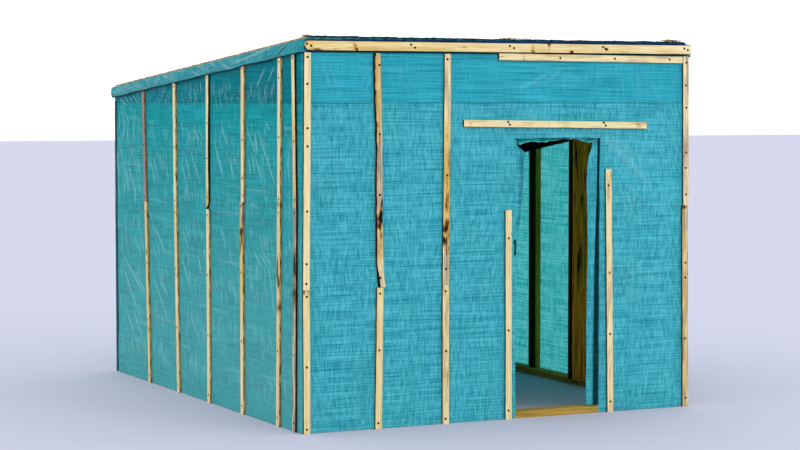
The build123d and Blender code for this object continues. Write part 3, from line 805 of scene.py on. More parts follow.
barkLook = {
    "tint": 0.5, "weathered": 0.6, "stains": [(0.05, 0.3, 1.2)], "nails": [], "rough": 2.0,
    "left": [(0, 0.031), (0.05, 0.024), (0.105, 0.02)],
    "right": [(0, 0.022), (0.05, 0.032), (0.105, 0.036)],
}
barkThick, barkHigh = 0.003, 0.105
patch, heads = lathPatch(corners, wanyLook, 991)
allHeads += heads
lathLines[(0, -1, 0)].append(corners.mean(1))
box[box[:, 1] < (low.y + high.y) / 2, 1] = high.y - barkThick
box[box[:, 2] > (low.z + high.z) / 2, 2] = low.z + barkHigh
bark = lathPatch(lathCorners(box, (0, -1, 0)), barkLook, 993)[0]
makePiece("wanyBatten", [patch, bark], lathWood, ("wany_batten",),
          smooth=False)
makePiece("nailHeads", [nailPatch(allHeads)], nailIron)
print("laths and boards made,", len(allHeads), "nails")

sheetShape = {
    "cell": 0.008, "leftCell": 0.0085, "farCell": 0.0125,
    "foot": 0.002,          # the sheet ends this far above the ice
    "bulge": 0.004, "press": 0.05, "seamStep": 0.0014,
}
doorLow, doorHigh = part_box("door_hem")
doorLeft, doorRight, doorHead = doorLow.x, doorHigh.x, doorHigh.z
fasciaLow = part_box("fascia_board")[0].z
leftSheetLow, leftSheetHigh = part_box("left_sheet")
sideSkin = -(leftSheetLow.x + leftSheetHigh.x) / 2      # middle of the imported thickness
endSkin = -(doorLow.y + doorHigh.y) / 2
walls = {
    "front": {"along": (1, 0, 0), "out": (0, -1, 0), "far": endSkin, "half": sideSkin},
    "back": {"along": (1, 0, 0), "out": (0, 1, 0), "far": endSkin, "half": sideSkin},
    "left": {"along": (0, 1, 0), "out": (-1, 0, 0), "far": sideSkin, "half": endSkin},
    "right": {"along": (0, 1, 0), "out": (1, 0, 0), "far": sideSkin, "half": endSkin},
}


# 0 under a lath, rising to 1 away from it: one less a bell of the distance to its line
def freeOfLaths(wall, u, v):
    along = np.array(wall["along"], float)
    free = np.ones(u.shape)
    for start, end in lathLines[wall["out"]]:
        u0, v0, u1, v1 = start @ along, start[2], end @ along, end[2]
        du, dv = u1 - u0, v1 - v0
        t = np.clip(((u - u0) * du + (v - v0) * dv) / (du ** 2 + dv ** 2), 0, 1)
        gap = np.hypot(u - u0 - t * du, v - v0 - t * dv)
        free *= 1 - np.exp(-(gap / sheetShape["press"]) ** 2)
    return free


# how far the sheet stands off its plane: slack between laths plus creases, never inwards,
# and the overlap above the seam a little proud
def standOff(wall, u, v, creases, seed, top):
    free = freeOfLaths(wall, u, v)
    edges = softStep(wall["half"] - np.abs(u), 0, 0.03) * softStep(top - v, 0.0, 0.05)
    slack = sheetShape["bulge"] * (0.45 + 0.55 * waves(u, v, 0.9, seed))
    folds = creaseField(u, v, creases)
    lift = (slack + folds) * free * edges
    lift = lift + sheetShape["seamStep"] * (v > wovenSheet["seamHigh"]) * edges * free
    return np.clip(lift, 0, None), np.clip(folds / 0.0022, 0, 1) * free * edges


# u along the wall and v up it, pushed out from the wall's plane by the lift
def wallPoints(wall, u, v, lift):
    along, out = [np.array(wall[k], float) for k in ("along", "out")]
    points = u[..., None] * along + (wall["far"] + lift)[..., None] * out
    points[..., 2] = v
    return points


# a whole wall: even columns from end to end, each with even rows from its foot to the
# roof above it; the back wall ends level
def uprightSheet(wallName, creases, seed, cell):
    wall, foot = walls[wallName], sheetShape["foot"]
    us = np.linspace(-wall["half"], wall["half"], int(2 * wall["half"] / cell))
    top = roofHigh(halfDepth + 0 * us if wallName == "back" else us)
    rows = np.linspace(0, 1, int(2.0 / cell))[:, None]
    u = np.broadcast_to(us, (len(rows), len(us)))
    v = foot + rows * (top - foot)
    lift, crease = standOff(wall, u, v, creases, seed, top)
    return gridPatch(wallPoints(wall, u, v, lift), np.stack([u + 7 * seed, v], -1),
                     wall["out"], {"crease": crease})


doorway = {
    "overHead": 0.0185,     # the sheet hangs this far over the header
    "wave": 0.0025,
    "hem": [(0.000, 0.034), (0.022, 0.036), (0.055, 0.026), (0.085, 0.022),
            (0.125, 0.02), (0.17, 0.026), (0.245, 0.016), (0.325, 0.006),
            (0.405, 0.009), (0.445, 0.023), (0.482, 0.029), (0.525, 0.014),
            (0.547, 0.01)],
    "free": [(0.0, 0.069), (0.5, 0.069), (0.75, 0.0665), (0.91, 0.0605), (1.09, 0.0635),
             (1.3, 0.071), (1.41, 0.067), (1.455, 0.062), (1.486, 0.0515),
             (1.506, 0.042), (1.533, 0.033), (1.58, 0.03)],
    "groove": [(0, 0.03), (0.5, 0.028), (0.9, 0.022), (1.12, 0.015), (1.3, 0.009),
               (1.58, 0.007)],
    "slit": [(0.916, 0.0), (0.918, 0.009), (0.985, 0.009), (0.988, 0.014), (1.003, 0.014),
             (1.006, 0.0)],
    "turned": [(0.916, 0.001), (0.925, 0.004), (0.998, 0.005), (1.004, 0.01),
               (1.08, 0.03), (1.16, 0.042), (1.24, 0.052), (1.36, 0.059), (1.5, 0.06),
               (1.508, 0.05), (1.537, 0.006), (1.562, 0.003)],
    "flapFoot": 0.045, "flapDeep": -1.5, "turnedFrom": 0.917, "turnedTo": 1.562,
}
sheetHead = doorHead - doorway["overHead"]      # where the doorway's cut edge is
# creases of the front wall: from (x, z) to (x, z), width and height
frontLines = [
    (0.4, 1.985, 0.055, 1.825, 0.009, 0.0026), (0.395, 1.98, 0.255, 1.87, 0.007, 0.003),
    (0.605, 1.985, 0.605, 1.85, 0.007, 0.0022), (0.885, 1.98, 0.955, 1.9, 0.007, 0.0018),
    (-0.79, 1.99, -0.86, 1.9, 0.007, 0.0028), (-0.79, 1.93, -0.87, 1.81, 0.007, 0.0028),
    (-0.645, 1.985, -0.64, 1.87, 0.007, 0.0018), (-1.1, 1.985, -1.045, 1.81, 0.007, 0.0022),
    (-1.06, 1.97, -1.01, 1.8, 0.007, 0.0014), (0.65, 1.582, 0.99, 1.275, 0.026, 0.0042),
    (0.706, 1.576, 0.925, 1.428, 0.018, 0.0032), (0.646, 1.584, 0.748, 1.46, 0.013, 0.0032),
    (0.733, 1.285, 0.895, 1.14, 0.01, 0.0024), (0.8, 1.306, 0.965, 1.175, 0.01, 0.0024),
    (0.76, 1.227, 0.856, 1.096, 0.009, 0.0022), (1.113, 1.567, 1.177, 1.414, 0.008, 0.0022),
    (0.7, 0.778, 1.17, 0.8, 0.009, 0.0026), (0.7, 0.748, 1.18, 0.752, 0.008, 0.0022)]
frontCreases = np.concatenate([drawCreases(
    (51, 150, (-1.2, 1.2), (1.0, 1.74), (0, 6), (0.04, 0.12), (0.005, 0.008),
     (0.0005, 0.0013)),
    (52, 90, (-1.2, 1.2), (0.1, 1.0), (6, 14), (0.05, 0.15), (0.006, 0.009),
     (0.0005, 0.0012)),
    (53, 46, (-1.2, 1.2), (0.1, 1.74), (89, 2), (0.3, 0.9), (0.005, 0.007),
     (0.0004, 0.0009)),
    (54, 34, (-0.33, 0.0), (0.7, 1.15), (40, 8), (0.06, 0.13), (0.006, 0.008),
     (0.0008, 0.0018)),
    (55, 22, (0.72, 0.9), (0.62, 0.9), (50, 8), (0.05, 0.1), (0.005, 0.008),
     (0.0015, 0.0028)),
    (56, 20, (0.2, 1.15), (1.8, 1.98), (0, 10), (0.05, 0.2), (0.007, 0.012),
     (0.0006, 0.0012))), placeCreases(frontLines)])


# the front wall: a grid with lines at the doorway's edges, drawn into waves there, and
# the cells of the doorway left out; the slit is painted as a dark line of shade, the fascia's
# shadow is painted as a dark strip under it, the stretched cloth over the doorway is marked
# paler
def frontSheet():
    wall, cell = walls["front"], sheetShape["cell"]
    half, top = wall["half"], underHigh.z
    us = spread([-half, doorLeft - 0.0145, doorLeft - 0.0135, doorLeft - 0.0085,
                 doorLeft - 0.0075, doorLeft, doorRight, half], cell, 2)
    vs = spread([sheetShape["foot"], sheetHead, fasciaLow - 0.0085, fasciaLow - 0.0075,
                 top], cell)
    u, v = np.meshgrid(us, vs)
    x, z = cells(u).mean(-1), cells(v).mean(-1)
    hole = (x > doorLeft) & (x < doorRight) & (z < sheetHead)
    inDoor = softStep(sheetHead + 0.05 - v, 0, 0.05)
    for edge in (doorLeft, doorRight):
        shift = doorway["wave"] * waves(v, edge, 0.4, 41, 6) * inDoor
        u += shift * np.exp(-((u - edge) / 0.05) ** 2) * (np.abs(u - edge) < 0.14)
    ripple = doorway["wave"] * waves(u, 0.0, 0.2, 43, 6)
    inWidth = softStep(u, doorLeft, doorLeft + 0.03) * softStep(-u, -doorRight,
                                                                 0.03 - doorRight)
    v += ripple * inWidth * np.exp(-((v - sheetHead) / 0.03) ** 2)
    lift, crease = standOff(wall, u, v, frontCreases, 3, np.full(u.shape, top))
    beside = np.clip(np.maximum(doorLeft - u, u - doorRight), 0, 1)
    lift = lift * (1 - np.exp(-(beside / 0.03) ** 2) * (v < sheetHead + 0.02))
    # the slit is drawn only as painted shade
    slit = np.abs(u - doorLeft) < through(v, doorway["slit"])
    bright = 0.16 * (softStep(sheetHead + 0.075 - v, 0, 0.03)
                     * softStep(v, sheetHead, sheetHead + 0.01)
                     * softStep(u, doorLeft - 0.05, doorLeft + 0.05)
                     * softStep(-u, -doorRight - 0.1, -doorRight))
    # painted shade on the slit and in a strip under the fascia
    return gridPatch(wallPoints(wall, u, v, lift), np.stack([u, v], -1), wall["out"],
                     {"crease": 0.42 * crease + bright,
                      "fold": np.maximum(slit, 0.9 * (v > fasciaLow - 0.008))},
                     keep=~hole)


frontPiece = makePiece("frontSheet", [frontSheet()], frontCloth,
                       ("front_sheet_left", "front_sheet_right", "front_sheet_over_door"))


# a strip of loose cloth carried down an edge: `profile` gives its section in plan as
# (x, y) for each height
def edgeStrip(name, profile, zs, shift, fold, cadNode):
    z = np.broadcast_to(zs[:, None], profile.shape[:2])
    steps = np.linalg.norm(np.diff(profile, axis=1), axis=-1)
    reach = np.concatenate([np.zeros((len(zs), 1)), np.cumsum(steps, 1)], 1)
    points = np.concatenate([profile, z[..., None]], -1)
    return makePiece(name, [gridPatch(points, np.stack([reach + shift, z], -1), (0, -1, 0),
                                      {"fold": fold})],
                     frontCloth, (cadNode,))


# left of the doorway: the cut edge turned in as a narrow band, as wide as the table says,
# sinking back with the distance from the edge; shade is painted across its middle, and nearly
# black beside the slit
def flapLeft():
    zs = np.linspace(doorway["turnedFrom"], doorway["turnedTo"], 130)[:, None]
    wide = through(zs, doorway["turned"])
    t = np.linspace(0, 1, 7)[None, :]
    x = doorLeft + wide * t
    y = -endSkin + 0.014 * t ** 0.7 * np.minimum(1, wide / 0.025) ** 2 + (
        0.001 * waves(zs, t, 0.3, 75) * t)
    # painted shade: nearly black beside the slit, darker across the band's middle
    fold = np.where(zs < 1.006, 0.97, 0.04 + 0.38 * softStep(t, 0.3, 0.7)
                    - 0.12 * softStep(t, 0.8, 1.0) + 0 * x)
    return edgeStrip("doorFlapLeft", np.stack([x, y], -1), zs[:, 0], 13.0, fold,
                     "door_flap_left")


# right of the doorway: the cloth goes in past the stud's edge, turns through a narrow
# groove and comes out leftwards to its free edge; the section runs softly from
# knot to knot, and shade is painted over it, darkest in the middle of the groove
def flapRight():
    zs = np.linspace(doorway["flapFoot"], sheetHead - 0.002, 170)
    wave = waves(zs, 0.0, 0.5, 71, 7)[:, None]
    free = doorRight - through(zs, doorway["free"])[:, None] + 0.0012 * wave
    groove = through(zs, doorway["groove"])[:, None]
    front = doorway["flapDeep"]
    deep = front + 0.003 * waves(zs, 3.0, 0.6, 72)[:, None]
    lip = doorRight - groove
    knots = [   # share of the way, x, y
        (0, doorRight, -endSkin), (0.07, doorRight - 0.0022, 0.008 - endSkin),
        (0.14, doorRight - 0.003, front - 0.01), (0.21, doorRight - 0.0045, deep),
        (0.27, doorRight - 0.3 * groove, deep + 0.002),
        (0.33, doorRight - 0.55 * groove, front - 0.008),
        (0.4, doorRight - 0.8 * groove, deep - 0.002), (0.46, lip, front - 0.0135),
        (0.52, lip - 0.006, front - 0.017),
        (0.64, lip - 0.2 * (lip - free), front - 0.0145 + 0.0015 * wave),
        (0.82, lip - 0.6 * (lip - free), front - 0.008 + 0.0015 * wave),
        (1.0, free, front + 0.002 * wave)]
    places = np.array([knot[0] for knot in knots])
    ends = np.stack([np.concatenate([np.broadcast_to(knot[i], groove.shape)
                                     for knot in knots], 1) for i in (1, 2)], -1)
    fine = np.linspace(0, 1, 40)
    at = np.searchsorted(places, fine, side="right").clip(1, len(places) - 1)
    share = softStep(fine, places[at - 1], places[at])[:, None]
    profile = ends[:, at - 1] * (1 - share) + ends[:, at] * share
    dark = 0.1 + 0.8 * np.exp(-((profile[..., 0] - doorRight + groove / 2)
                                  / (groove * 0.62 + 0.002)) ** 4)
    return edgeStrip("doorFlapRight", profile, zs, 11.0, dark, "door_flap_right")


# over the doorway: a crumpled hem that hangs as far as the table says, bulges inwards
# half way down, has painted shade in its fold and at its left end, is pale on its ridges
# and has a painted highlight at its foot
def doorHem():
    xs = np.linspace(doorLeft + 0.001, doorRight - 0.001, 110)
    hang = through(xs - doorLeft, doorway["hem"]) + 0.002 * waves(xs, 0.0, 0.12, 81, 7)
    hang = np.clip(hang, 0.004, None)
    s = np.linspace(0, 1, 14)[:, None]
    crumple = waves(xs[None], s * 0.05, 0.07, 82, 8) * 0.0045
    inward = 0.02 * np.sin(np.pi * np.clip(s * 1.15, 0, 1)) ** 0.8 + 0.004
    y = -endSkin + inward * (0.6 + 0.4 * waves(xs[None], 0 * s, 0.16, 83, 5)) + (
        crumple * np.sin(np.pi * s) ** 0.5)
    z = sheetHead + 0.001 - hang[None] * s + 0.0025 * waves(xs[None], s * 0.1, 0.05, 84,
                                                            6) * s
    x = np.broadcast_to(xs, z.shape)
    ridge = np.clip(-crumple / 0.004, 0, 1)
    dark = np.clip(0.95 - 0.65 * softStep(s, 0.06, 0.2) - 0.2 * softStep(s, 0.6, 0.9)
                   + 0.9 * softStep(doorLeft + 0.02 - xs, 0, 0.01) - 0.3 * ridge, 0, 1)
    pale = np.maximum(0.15 * ridge, 0.6 * softStep(s, 0.82, 0.95))
    patch = gridPatch(np.stack([x, np.maximum(y, -endSkin), z], -1),
                      np.stack([x + 5, z], -1), (0, -1, 0), {"crease": pale, "fold": dark})
    # the hem takes the shaded left wall's copy of the sheet: painted shade
    return makePiece("doorHem", [patch], leftCloth, ("door_hem",))


rightFlap, leftFlap, hem = flapRight(), flapLeft(), doorHem()

# creases of the left wall: from (y, z) to (y, z), and height in millimetres
leftLines = [
    (-0.9, 1.64, -1.18, 1.31, 3.2), (-0.76, 1.63, -0.9, 1.48, 3.0),
    (-0.87, 1.49, -1.00, 1.32, 2.8), (-1.04, 1.97, -0.9, 1.84, 2.4),
    (-1.17, 1.97, -1.07, 1.88, 2.2), (-0.24, 1.58, -0.41, 1.33, 2.8),
    (-0.29, 1.48, -0.4, 1.37, 2.6), (0.21, 1.63, 0.11, 1.5, 2.6),
    (0.09, 1.63, -0.04, 1.53, 2.4), (0.14, 1.5, -0.03, 1.29, 3.0),
    (0.29, 1.44, 0.19, 1.27, 2.6), (0.22, 1.47, 0.12, 1.29, 2.6),
    (0.79, 1.44, 0.7, 1.3, 2.8), (0.83, 1.41, 0.74, 1.24, 2.6),
    (1.39, 0.79, 0.92, 0.52, 3.4), (1.39, 0.72, 1.08, 0.41, 3.2),
    (1.13, 0.68, 0.92, 0.55, 2.8), (1.35, 0.45, 1.15, 0.25, 2.8),
    (1.21, 0.45, 1.00, 0.26, 3.0), (0.81, 0.68, 0.56, 0.45, 3.2),
    (0.7, 0.69, 0.52, 0.56, 2.8), (0.76, 0.99, 0.59, 0.85, 2.6),
    (0.31, 0.86, 0.12, 0.63, 2.8), (0.28, 1.01, 0.16, 0.89, 2.4),
    (0.02, 0.88, -0.06, 0.73, 2.4), (-0.81, 1.21, -0.94, 1.18, 2.0),
    (-0.85, 0.95, -0.98, 0.85, 2.2), (-0.93, 0.95, -1.07, 0.85, 2.2),
    (-0.98, 0.95, -1.1, 0.88, 2.0), (1.43, 1.8, 1.29, 1.75, 2.4),
    (1.35, 1.82, 1.23, 1.76, 2.4), (1.17, 1.82, 1.06, 1.76, 2.4),
    (1.25, 1.82, 1.15, 1.76, 2.2), (-1.03, 1.66, -1.1, 1.62, 2.2),
    (-1.33, 1.49, -1.37, 1.34, 2.4), (-0.38, 1.64, -0.49, 1.51, 2.4),
    (-0.48, 1.48, -0.58, 1.33, 2.4), (0.01, 1.62, -0.09, 1.55, 2.0),
    (0.67, 1.46, 0.58, 1.34, 2.4), (0.58, 1.42, 0.5, 1.28, 2.4),
    (1.31, 1.7, 1.23, 1.63, 2.2), (1.19, 1.48, 1.11, 1.32, 2.4),
    (1.35, 1.41, 1.23, 1.22, 2.4), (1.27, 1.38, 1.15, 1.19, 2.4),
    (1.11, 1.45, 1.02, 1.28, 2.2)]
leftCreases = np.concatenate([placeCreases(
    [(*ends, 0.0055, height / 1000) for *ends, height in leftLines]), drawCreases(
    (60, 150, (-1.2, 1.1), (1.77, 1.87), (4, 8), (0.03, 0.08), (0.005, 0.007),
     (0.0006, 0.0016)),
    (61, 60, (1.05, 1.5), (1.2, 1.75), (2, 5), (0.08, 0.25), (0.005, 0.007),
     (0.0006, 0.0014)),
    (62, 24, (-1.5, 1.5), (0.1, 1.8), (89, 1.5), (0.2, 0.8), (0.007, 0.01),
     (0.0005, 0.001)),
    (63, 160, (-1.5, 1.5), (0.1, 1.75), (14, 9), (0.03, 0.09), (0.005, 0.007),
     (0.0005, 0.0014)),
    *[(64 + k, 60, (-1.5, 1.5), (z - 0.05, z + 0.05), (14, 7), (0.05, 0.12),
       (0.005, 0.007), (0.0008, 0.002))       # level bands of short ones
      for k, z in enumerate((1.2, 0.99, 0.85, 0.7, 0.45, 0.2, 1.42, 1.58))])])
rightCreases, backCreases = [drawCreases(
    (seed, 260, (-1.5, 1.5), (0.1, 1.9), (8, 12), (0.06, 0.22), (0.007, 0.011),
     (0.0008, 0.0024)),
    (seed + 1, 30, (-1.5, 1.5), (0.2, 1.6), (30, 20), (0.2, 0.5), (0.008, 0.013),
     (0.0015, 0.0035))) for seed in (90, 95)]
leftPiece, rightPiece = [
    makePiece(wall + "Sheet", [uprightSheet(wall, creases, seed, cell)], cloth,
              (wall + "_sheet",))
    for wall, creases, seed, cell, cloth in (
        ("left", leftCreases, 5, sheetShape["leftCell"], leftCloth),
        ("right", rightCreases, 8, sheetShape["farCell"], rightCloth))]

wrapShape = {"short": 0.09, "wide": 0.047, "wave": 0.003, "stand": 0.0022, "rise": 0.003,
             "bow": 0.0014}


# the back sheet goes on round both rear corners as a doubled strip, painted darker with
# shade and darkest at its edge: it stands off the side by a rising power and a half wave of
# the share of its width
def backWraps():
    made, shape = [], wrapShape
    for side in (-1, 1):
        zs = np.linspace(0.004, roofHigh(1.5) - shape["short"], 130)[:, None]
        t = np.linspace(0, 1, 9)[None]
        wide = shape["wide"] + shape["wave"] * waves(zs, side, 0.5, 201 + side, 7)
        y = endSkin + 0.002 - wide * t
        x = side * (sideSkin + shape["stand"] + shape["rise"] * t ** 0.7
                    + shape["bow"] * np.sin(np.pi * t) + 0.0006 * waves(zs, t, 0.2, 205))
        z = zs + 0 * t
        made.append(gridPatch(np.stack([x, y, z], -1), np.stack([y + 30, z], -1),
                              (side, 0, 0), {"fold": 0.72 + 0.2 * (t > 0.9) + 0 * y}))
    return made


backPiece = makePiece("backSheet", [uprightSheet(
    "back", backCreases, 9, sheetShape["farCell"])] + backWraps(), rightCloth,
    ("back_sheet",))
print("wall sheets made")


roofEdgeLow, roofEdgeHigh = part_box("roof_sheet")
roofShape = {
    "cell": 0.0112, "overSheet": 0.0058, "slack": 0.004,
    "halfWide": roofEdgeHigh.x + 0.0002,
    "front": roofEdgeLow.y - 0.001, "back": roofEdgeHigh.y + 0.0005,
    "cornerRadius": {-1: 0.005, 1: 0.016},      # at the front, at the back
    "bandHigh": 0.0715, "bandOut": 0.0026,
    "beadFrom": -1.49, "beadRows": 9,
}


# the sheet on top, falling with the roof: slack waves and creases lift it, less towards
# the laths and the edges
def roofTop(xs, ys):
    shape = roofShape
    x, y = np.meshgrid(xs, ys)
    free = np.ones(x.shape)
    for start, end in lathLines[(0, 0, 1)]:
        free *= 1 - np.exp(-((x - start[0]) / 0.05) ** 2) * (y > start[1] - 0.05)
    inside = softStep(shape["halfWide"] - np.abs(x), 0, 0.04) * softStep(
        shape["back"] - y, 0, 0.04)
    inside = inside * softStep(y - shape["front"], 0.03, 0.09)
    folds = creaseField(x, y, drawCreases((
        301, 120, (-1.2, 1.2), (-1.4, 1.5), (0, 50), (0.1, 0.5), (0.01, 0.018),
        (0.001, 0.004))))
    lift = np.clip(shape["slack"] * (0.5 + 0.5 * waves(x, y, 0.8, 302)) + folds, 0, None)
    z = roofHigh(y) + shape["overSheet"] + lift * free * inside
    return x, y, z, np.clip(folds / 0.003, 0, 1) * free * inside * 0.5


# the front edge is gathered into a bead that rises and curls over the front: its rows run
# round a quarter turn and on down to a lip, and have painted shade where they turn under and
# a painted highlight near the left end
def frontBead(xs, y, z, crease):
    shape, n = roofShape, roofShape["beadRows"]
    front, start = shape["front"], shape["beadFrom"]
    turn = np.linspace(1, 0, n)[:, None] ** 0.9
    ends = softStep(shape["halfWide"] - np.abs(xs), 0.02, 0.055)
    rise = (through(xs, [(-1.2, 0.0275), (-0.5, 0.024), (0.2, 0.0215), (1.2, 0.0205)])
            + 0.0022 * waves(xs, 0.0, 0.25, 303, 10) + 0.0016 * waves(xs, 2.0, 0.06, 304))
    lip = (through(xs, [(-1.2, 0.006), (-0.75, 0.009), (0.2, 0.0115), (1.2, 0.0125)])
           + 0.0014 * waves(xs, 1.0, 0.12, 305, 9))
    angle = np.pi * 0.5 * np.clip(turn * 1.45, 0, 1.62)
    edge = roofHigh(front)
    beadY = start - (start - front + 0.009) * np.sin(
        np.clip(angle, 0, np.pi * 0.72)) ** 0.9
    beadZ = edge + shape["overSheet"] * (1 - turn) + rise * np.sin(angle * 0.93) ** 1.3 * (
        angle < np.pi / 2) + (angle >= np.pi / 2) * rise
    low = softStep(turn, 0.62, 1.0)
    beadZ = beadZ * (1 - low) + (edge + lip) * low
    beadY = beadY + 0.0025 * waves(xs, turn * 0.05, 0.05, 306, 6) * turn
    y[:n] = y[:n] * (1 - ends) + beadY * ends
    z[:n] = z[:n] * (1 - ends) + beadZ * ends
    gathers = np.clip(waves(xs, turn * 0.04, 0.045, 307, 6), 0, 1) * ends
    # a painted highlight near the bead's left end
    leftEndHighlight = softStep(-xs, 0.75, 1.05) * np.exp(-((turn - 0.887) / 0.05) ** 2)
    crease[:n] = np.maximum(crease[:n], np.maximum(0.3 * gathers, 0.55 * leftEndHighlight * ends))
    shade = through(turn, [(0, 0), (0.5, 0.1), (0.62, 1.0), (0.78, 0.95), (0.887, 0.6),
                           (0.94, 0.6), (1.0, 0.95)])
    fold = np.zeros(y.shape)
    fold[:n] = ends * np.clip(shade - 0.3 * leftEndHighlight + 0.25 * (turn > 0.3) * waves(
        xs, turn * 0.1, 0.07, 308, 7), 0, 1)
    return fold


# rounded corners: points outside a corner's two centre lines are drawn in to arcs, each
# as far from the centre as its longer offset was
def roundCorners(x, y):
    for side in (-1, 1):
        for end in (-1, 1):
            radius = roofShape["cornerRadius"][end]
            cx = side * (roofShape["halfWide"] - radius)
            cy = roofShape["back" if end > 0 else "front"] - end * radius
            dx, dy = (x - cx) * side, (y - cy) * end
            corner = (dx > 0) & (dy > 0)
            scale = np.maximum(dx, dy) / np.maximum(np.hypot(dx, dy), 1e-9)
            x[corner] = cx + side * (dx * scale)[corner]
            y[corner] = cy + end * (dy * scale)[corner]


# creases of the folded edge, run round it from the left front corner; and its dents, where
# shade is painted dark
bandLines = [(1.054, 0.05, 0.365, 0.003, 0.006, 0.005),
             (0.375, 0.06, 0.205, 0.008, 0.005, 0.004)]
bandShadedDents = [(0.385, 0.068, 0.18, 0.006, 0.005, 1.0),
             (0.11, 0.048, 0.058, 0.018, 0.005, 0.8),
             (1.5, 0.06, 0.9, 0.052, 0.005, 0.3)]
bandDrops = [0, 0.0012, 0.004, 0.01, 0.018, 0.026, 0.034, 0.042, 0.05, 0.058, 0.065,
             0.066]     # its rows, from the roof's edge down; three more close its foot


# the sheet's edge folded down: the outline is carried down in rows, pushed out by
# creases, and turned in at its hem; at the front ends it is tucked flat
def foldedBand(top):
    shape, wrap, high = roofShape, 4, roofShape["bandHigh"]
    path = np.concatenate([top[0, wrap:0:-1], top[:, 0], top[-1, 1:-1], top[::-1, -1],
                           top[0, -2:-wrap - 2:-1]])
    ahead, behind = np.roll(path, -1, 0), np.roll(path, 1, 0)
    ahead[-1], behind[0] = 2 * path[-1] - path[-2], 2 * path[0] - path[1]
    tangent = (ahead - behind)[:, :2]
    tangent /= np.linalg.norm(tangent, axis=1)[:, None]
    outward = np.stack([tangent[:, 1], -tangent[:, 0]], 1)
    outward *= np.sign((outward * path[:, :2]).sum(1))[:, None]
    run = np.append(0, np.cumsum(np.linalg.norm(np.diff(path, axis=0), axis=1)))
    drops = np.array(bandDrops + [high, high + 0.0012, high + 0.0006])[:, None]
    outs = np.array([0, 0.7] + [1] * 11 + [0.5, -0.2])[:, None]
    side, down = np.broadcast_arrays(run, drops)
    folds = creaseField(side, down, np.concatenate([drawCreases(
        (311, 100, (1.9, 3.15), (0.015, 0.055), (-60, 9), (0.05, 0.1),
         (0.0045, 0.006), (0.001, 0.0024)),
        (312, 26, (0.6, 2.1), (0.005, 0.065), (-76, 8), (0.1, 0.35),
         (0.005, 0.008), (0.001, 0.0022)),
        (313, 160, (3.2, run[-1]), (0.0, 0.07), (-60, 14), (0.05, 0.12),
         (0.005, 0.008), (0.001, 0.0026))), placeCreases(bandLines)]))
    dentShade = creaseField(side, down, placeCreases(bandShadedDents))
    corners = [np.argmin(np.hypot(path[:, 0] - s * shape["halfWide"],
                                  path[:, 1] - shape["back"])) for s in (-1, 1)]
    bulk = sum(0.008 * np.exp(-((run - run[c]) / 0.035) ** 2) for c in corners)
    puff = np.clip(folds + 0.0012 * waves(side, down, 0.25, 315, 7) + 0.0012, 0, None)
    push = shape["bandOut"] * outs + (puff + bulk * np.sin(
        np.pi * np.clip(down / high, 0, 1)) ** 0.5) * softStep(down, 0.0, 0.012) * (
            outs > 0.9)
    tuck = softStep(shape["halfWide"] - 0.004 - np.abs(path[:, 0]), 0.012, 0.024) * (
        path[:, 1] < shape["front"] + 0.01)
    push = push * (1 - tuck) - 0.0006 * tuck
    droop = 0.0022 * waves(run, 0.0, 0.6, 316, 8) * softStep(down, 0.03, high)
    band = np.concatenate([path[:, :2] + push[..., None] * outward,
                           (path[:, 2] - down - droop)[..., None]], -1)
    chart = np.stack([side + 50, -down], -1)
    # painted shade in the dents and a painted shadow line along the band's foot
    marks = {"crease": np.clip(folds / 0.003, 0, 1) * (1 - tuck),
             "fold": np.maximum(np.clip(dentShade, 0, 0.75), 0.92 * (down > 0.0655))}
    half = len(path) // 2
    return [gridPatch(band[:, part], chart[:, part], (facing, 0, 0),
                      {k: m[:, part] for k, m in marks.items()})
            for part, facing in ((slice(0, half + 1), -1), (slice(half, None), 1))]


# the whole roof sheet: its top, with finer rows along the front for the bead, and its
# folded edge, joined where they meet
def roofSheet():
    shape, start = roofShape, roofShape["beadFrom"]
    half, back, cell = shape["halfWide"], shape["back"], shape["cell"]
    xs = np.linspace(-half, half, int(2 * half / cell))
    ys = np.concatenate([np.linspace(shape["front"], start, shape["beadRows"])[:-1],
                         np.linspace(start, back, int((back - start) / cell))])
    x, y, z, crease = roofTop(xs, ys)
    fold = frontBead(xs, y, z, crease)
    roundCorners(x, y)
    top = np.stack([x, y, z], -1)
    patch = gridPatch(top, np.stack([x, y], -1), (0, 0, 1),
                      {"crease": crease, "fold": fold})
    return makePiece("roofSheet", [patch] + foldedBand(top), roofCloth,
                     ("roof_sheet", "roof_edge_left", "roof_edge_right",
                      "roof_edge_back", "roof_edge_front"), merge=0.00005)


underShape = {"halfWide": 1.2185, "front": -1.5255, "rollFrom": -1.5, "back": 1.5235,
              "rolls": 8, "columns": 150, "rows": 170, "over": 0.0012}


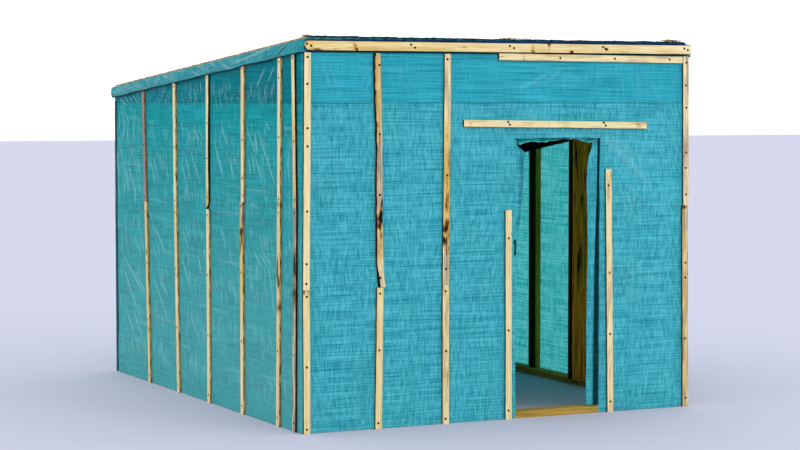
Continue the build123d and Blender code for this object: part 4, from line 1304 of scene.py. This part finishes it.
# the sheet under it, almost flat, with its front edge rolled: the roll's rows go round
# half a turn, thicker towards the right
def underSheet():
    shape, n, start = underShape, underShape["rolls"], underShape["rollFrom"]
    half, foot = shape["halfWide"], roofHigh(-halfDepth)
    xs = np.linspace(-half, half, shape["columns"])
    ys = np.concatenate([np.linspace(shape["front"], start, n)[:-1],
                         np.linspace(start, shape["back"], shape["rows"])])
    x, y = np.meshgrid(xs, ys)
    z = roofHigh(y) + shape["over"] + shape["over"] * (0.5 + 0.5 * waves(x, y, 0.7, 330))
    turn = np.linspace(1, 0, n)[:, None]
    thick = (through(xs, [(-1.2, 0.004), (-0.95, 0.007), (-0.4, 0.0105), (0.4, 0.0115),
                          (1.2, 0.0125)]) + 0.001 * waves(xs, 0.0, 0.2, 331, 8))
    angle = np.pi * turn * 0.95
    ends = softStep(half - np.abs(xs), 0.0, 0.02)
    rollY = start - 0.034 * np.sin(np.clip(angle, 0, np.pi / 2)) + 0.004 * np.sin(
        np.clip(angle - np.pi / 2, 0, 1)) + 0.0012 * waves(xs, turn * 0.1, 0.1, 332, 7)
    rollZ = foot + 0.001 + thick * np.where(
        angle < np.pi / 2, softStep(np.sin(angle), 0.0, 1.0), np.sin(angle))
    y[:n] = y[:n] * (1 - ends) + rollY * ends
    z[:n] = z[:n] * (1 - ends) + np.maximum(rollZ, foot + 0.0008) * ends
    ridge = np.clip(waves(x, y * 4, 0.09, 333, 7), 0, 1) * 0.25
    patch = gridPatch(np.stack([x, y, z], -1), np.stack([x + 80, y], -1), (0, 0, 1),
                      {"crease": ridge})
    return makePiece("roofUnderSheet", [patch], navyCloth,
                     ("roof_under_sheet",))


roofPiece = roofSheet()
underPiece = underSheet()
print("roof sheets made")

# splinters caught on the front edge: from x to x, how many, how high over the roof
shreds = {"places": [(-1.2, -1.165, 34, 0.021), (0.0, 0.19, 44, 0.02),
                     (1.055, 1.165, 80, 0.021)], "between": (-1.53, -1.49),
          "long": (0.02, 0.06), "thick": 0.0021, "scatter": 0.012}


# each splinter is a flat four-sided section along a short bent line, thinner at its ends
def splinters():
    draw, patches = chance(400), []
    rings = np.linspace(-0.5, 0.5, 6)
    taper = (1 - 0.7 * np.abs(2 * rings))[:, None, None] * shreds["thick"]
    section = np.array([[-1, -0.5], [1, -0.5], [1, 0.5], [-1, 0.5]])[None]
    index = np.arange(24).reshape(6, 4)
    faces = cells(np.append(index, index[:, :1], 1)).reshape(-1, 4).tolist()
    faces += [index[0][::-1].tolist(), index[-1].tolist()]
    for left, right, count, over in shreds["places"]:
        for _ in range(count):
            long, turn = draw.uniform(*shreds["long"]), draw.normal(0, 0.5)
            rise, bend = draw.normal(0, 0.15), draw.normal(0, 0.15)
            centre = np.array([draw.uniform(left, right), draw.uniform(*shreds["between"]),
                               roofHigh(-1.51) + over + draw.uniform(0, shreds["scatter"])])
            way = np.array([np.cos(turn), np.sin(turn), rise])
            line = centre + long * rings[:, None] * way
            line[:, 2] += bend * long * (rings ** 2)
            across, up = np.array([-way[1], way[0], 0.0]), np.array([0, 0, 1.0])
            ring = line[:, None] + taper * (section[..., :1] * across
                                            + section[..., 1:] * up)
            patches.append({"points": ring.reshape(-1, 3), "faces": faces,
                            "chart": np.zeros((4 * len(faces), 2))})
    return makePiece("splinters", patches, straw, smooth=False)


splinters()
print("splinters made")

low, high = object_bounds()
print("size", [round(h - l, 3) for l, h in zip(low, high)])
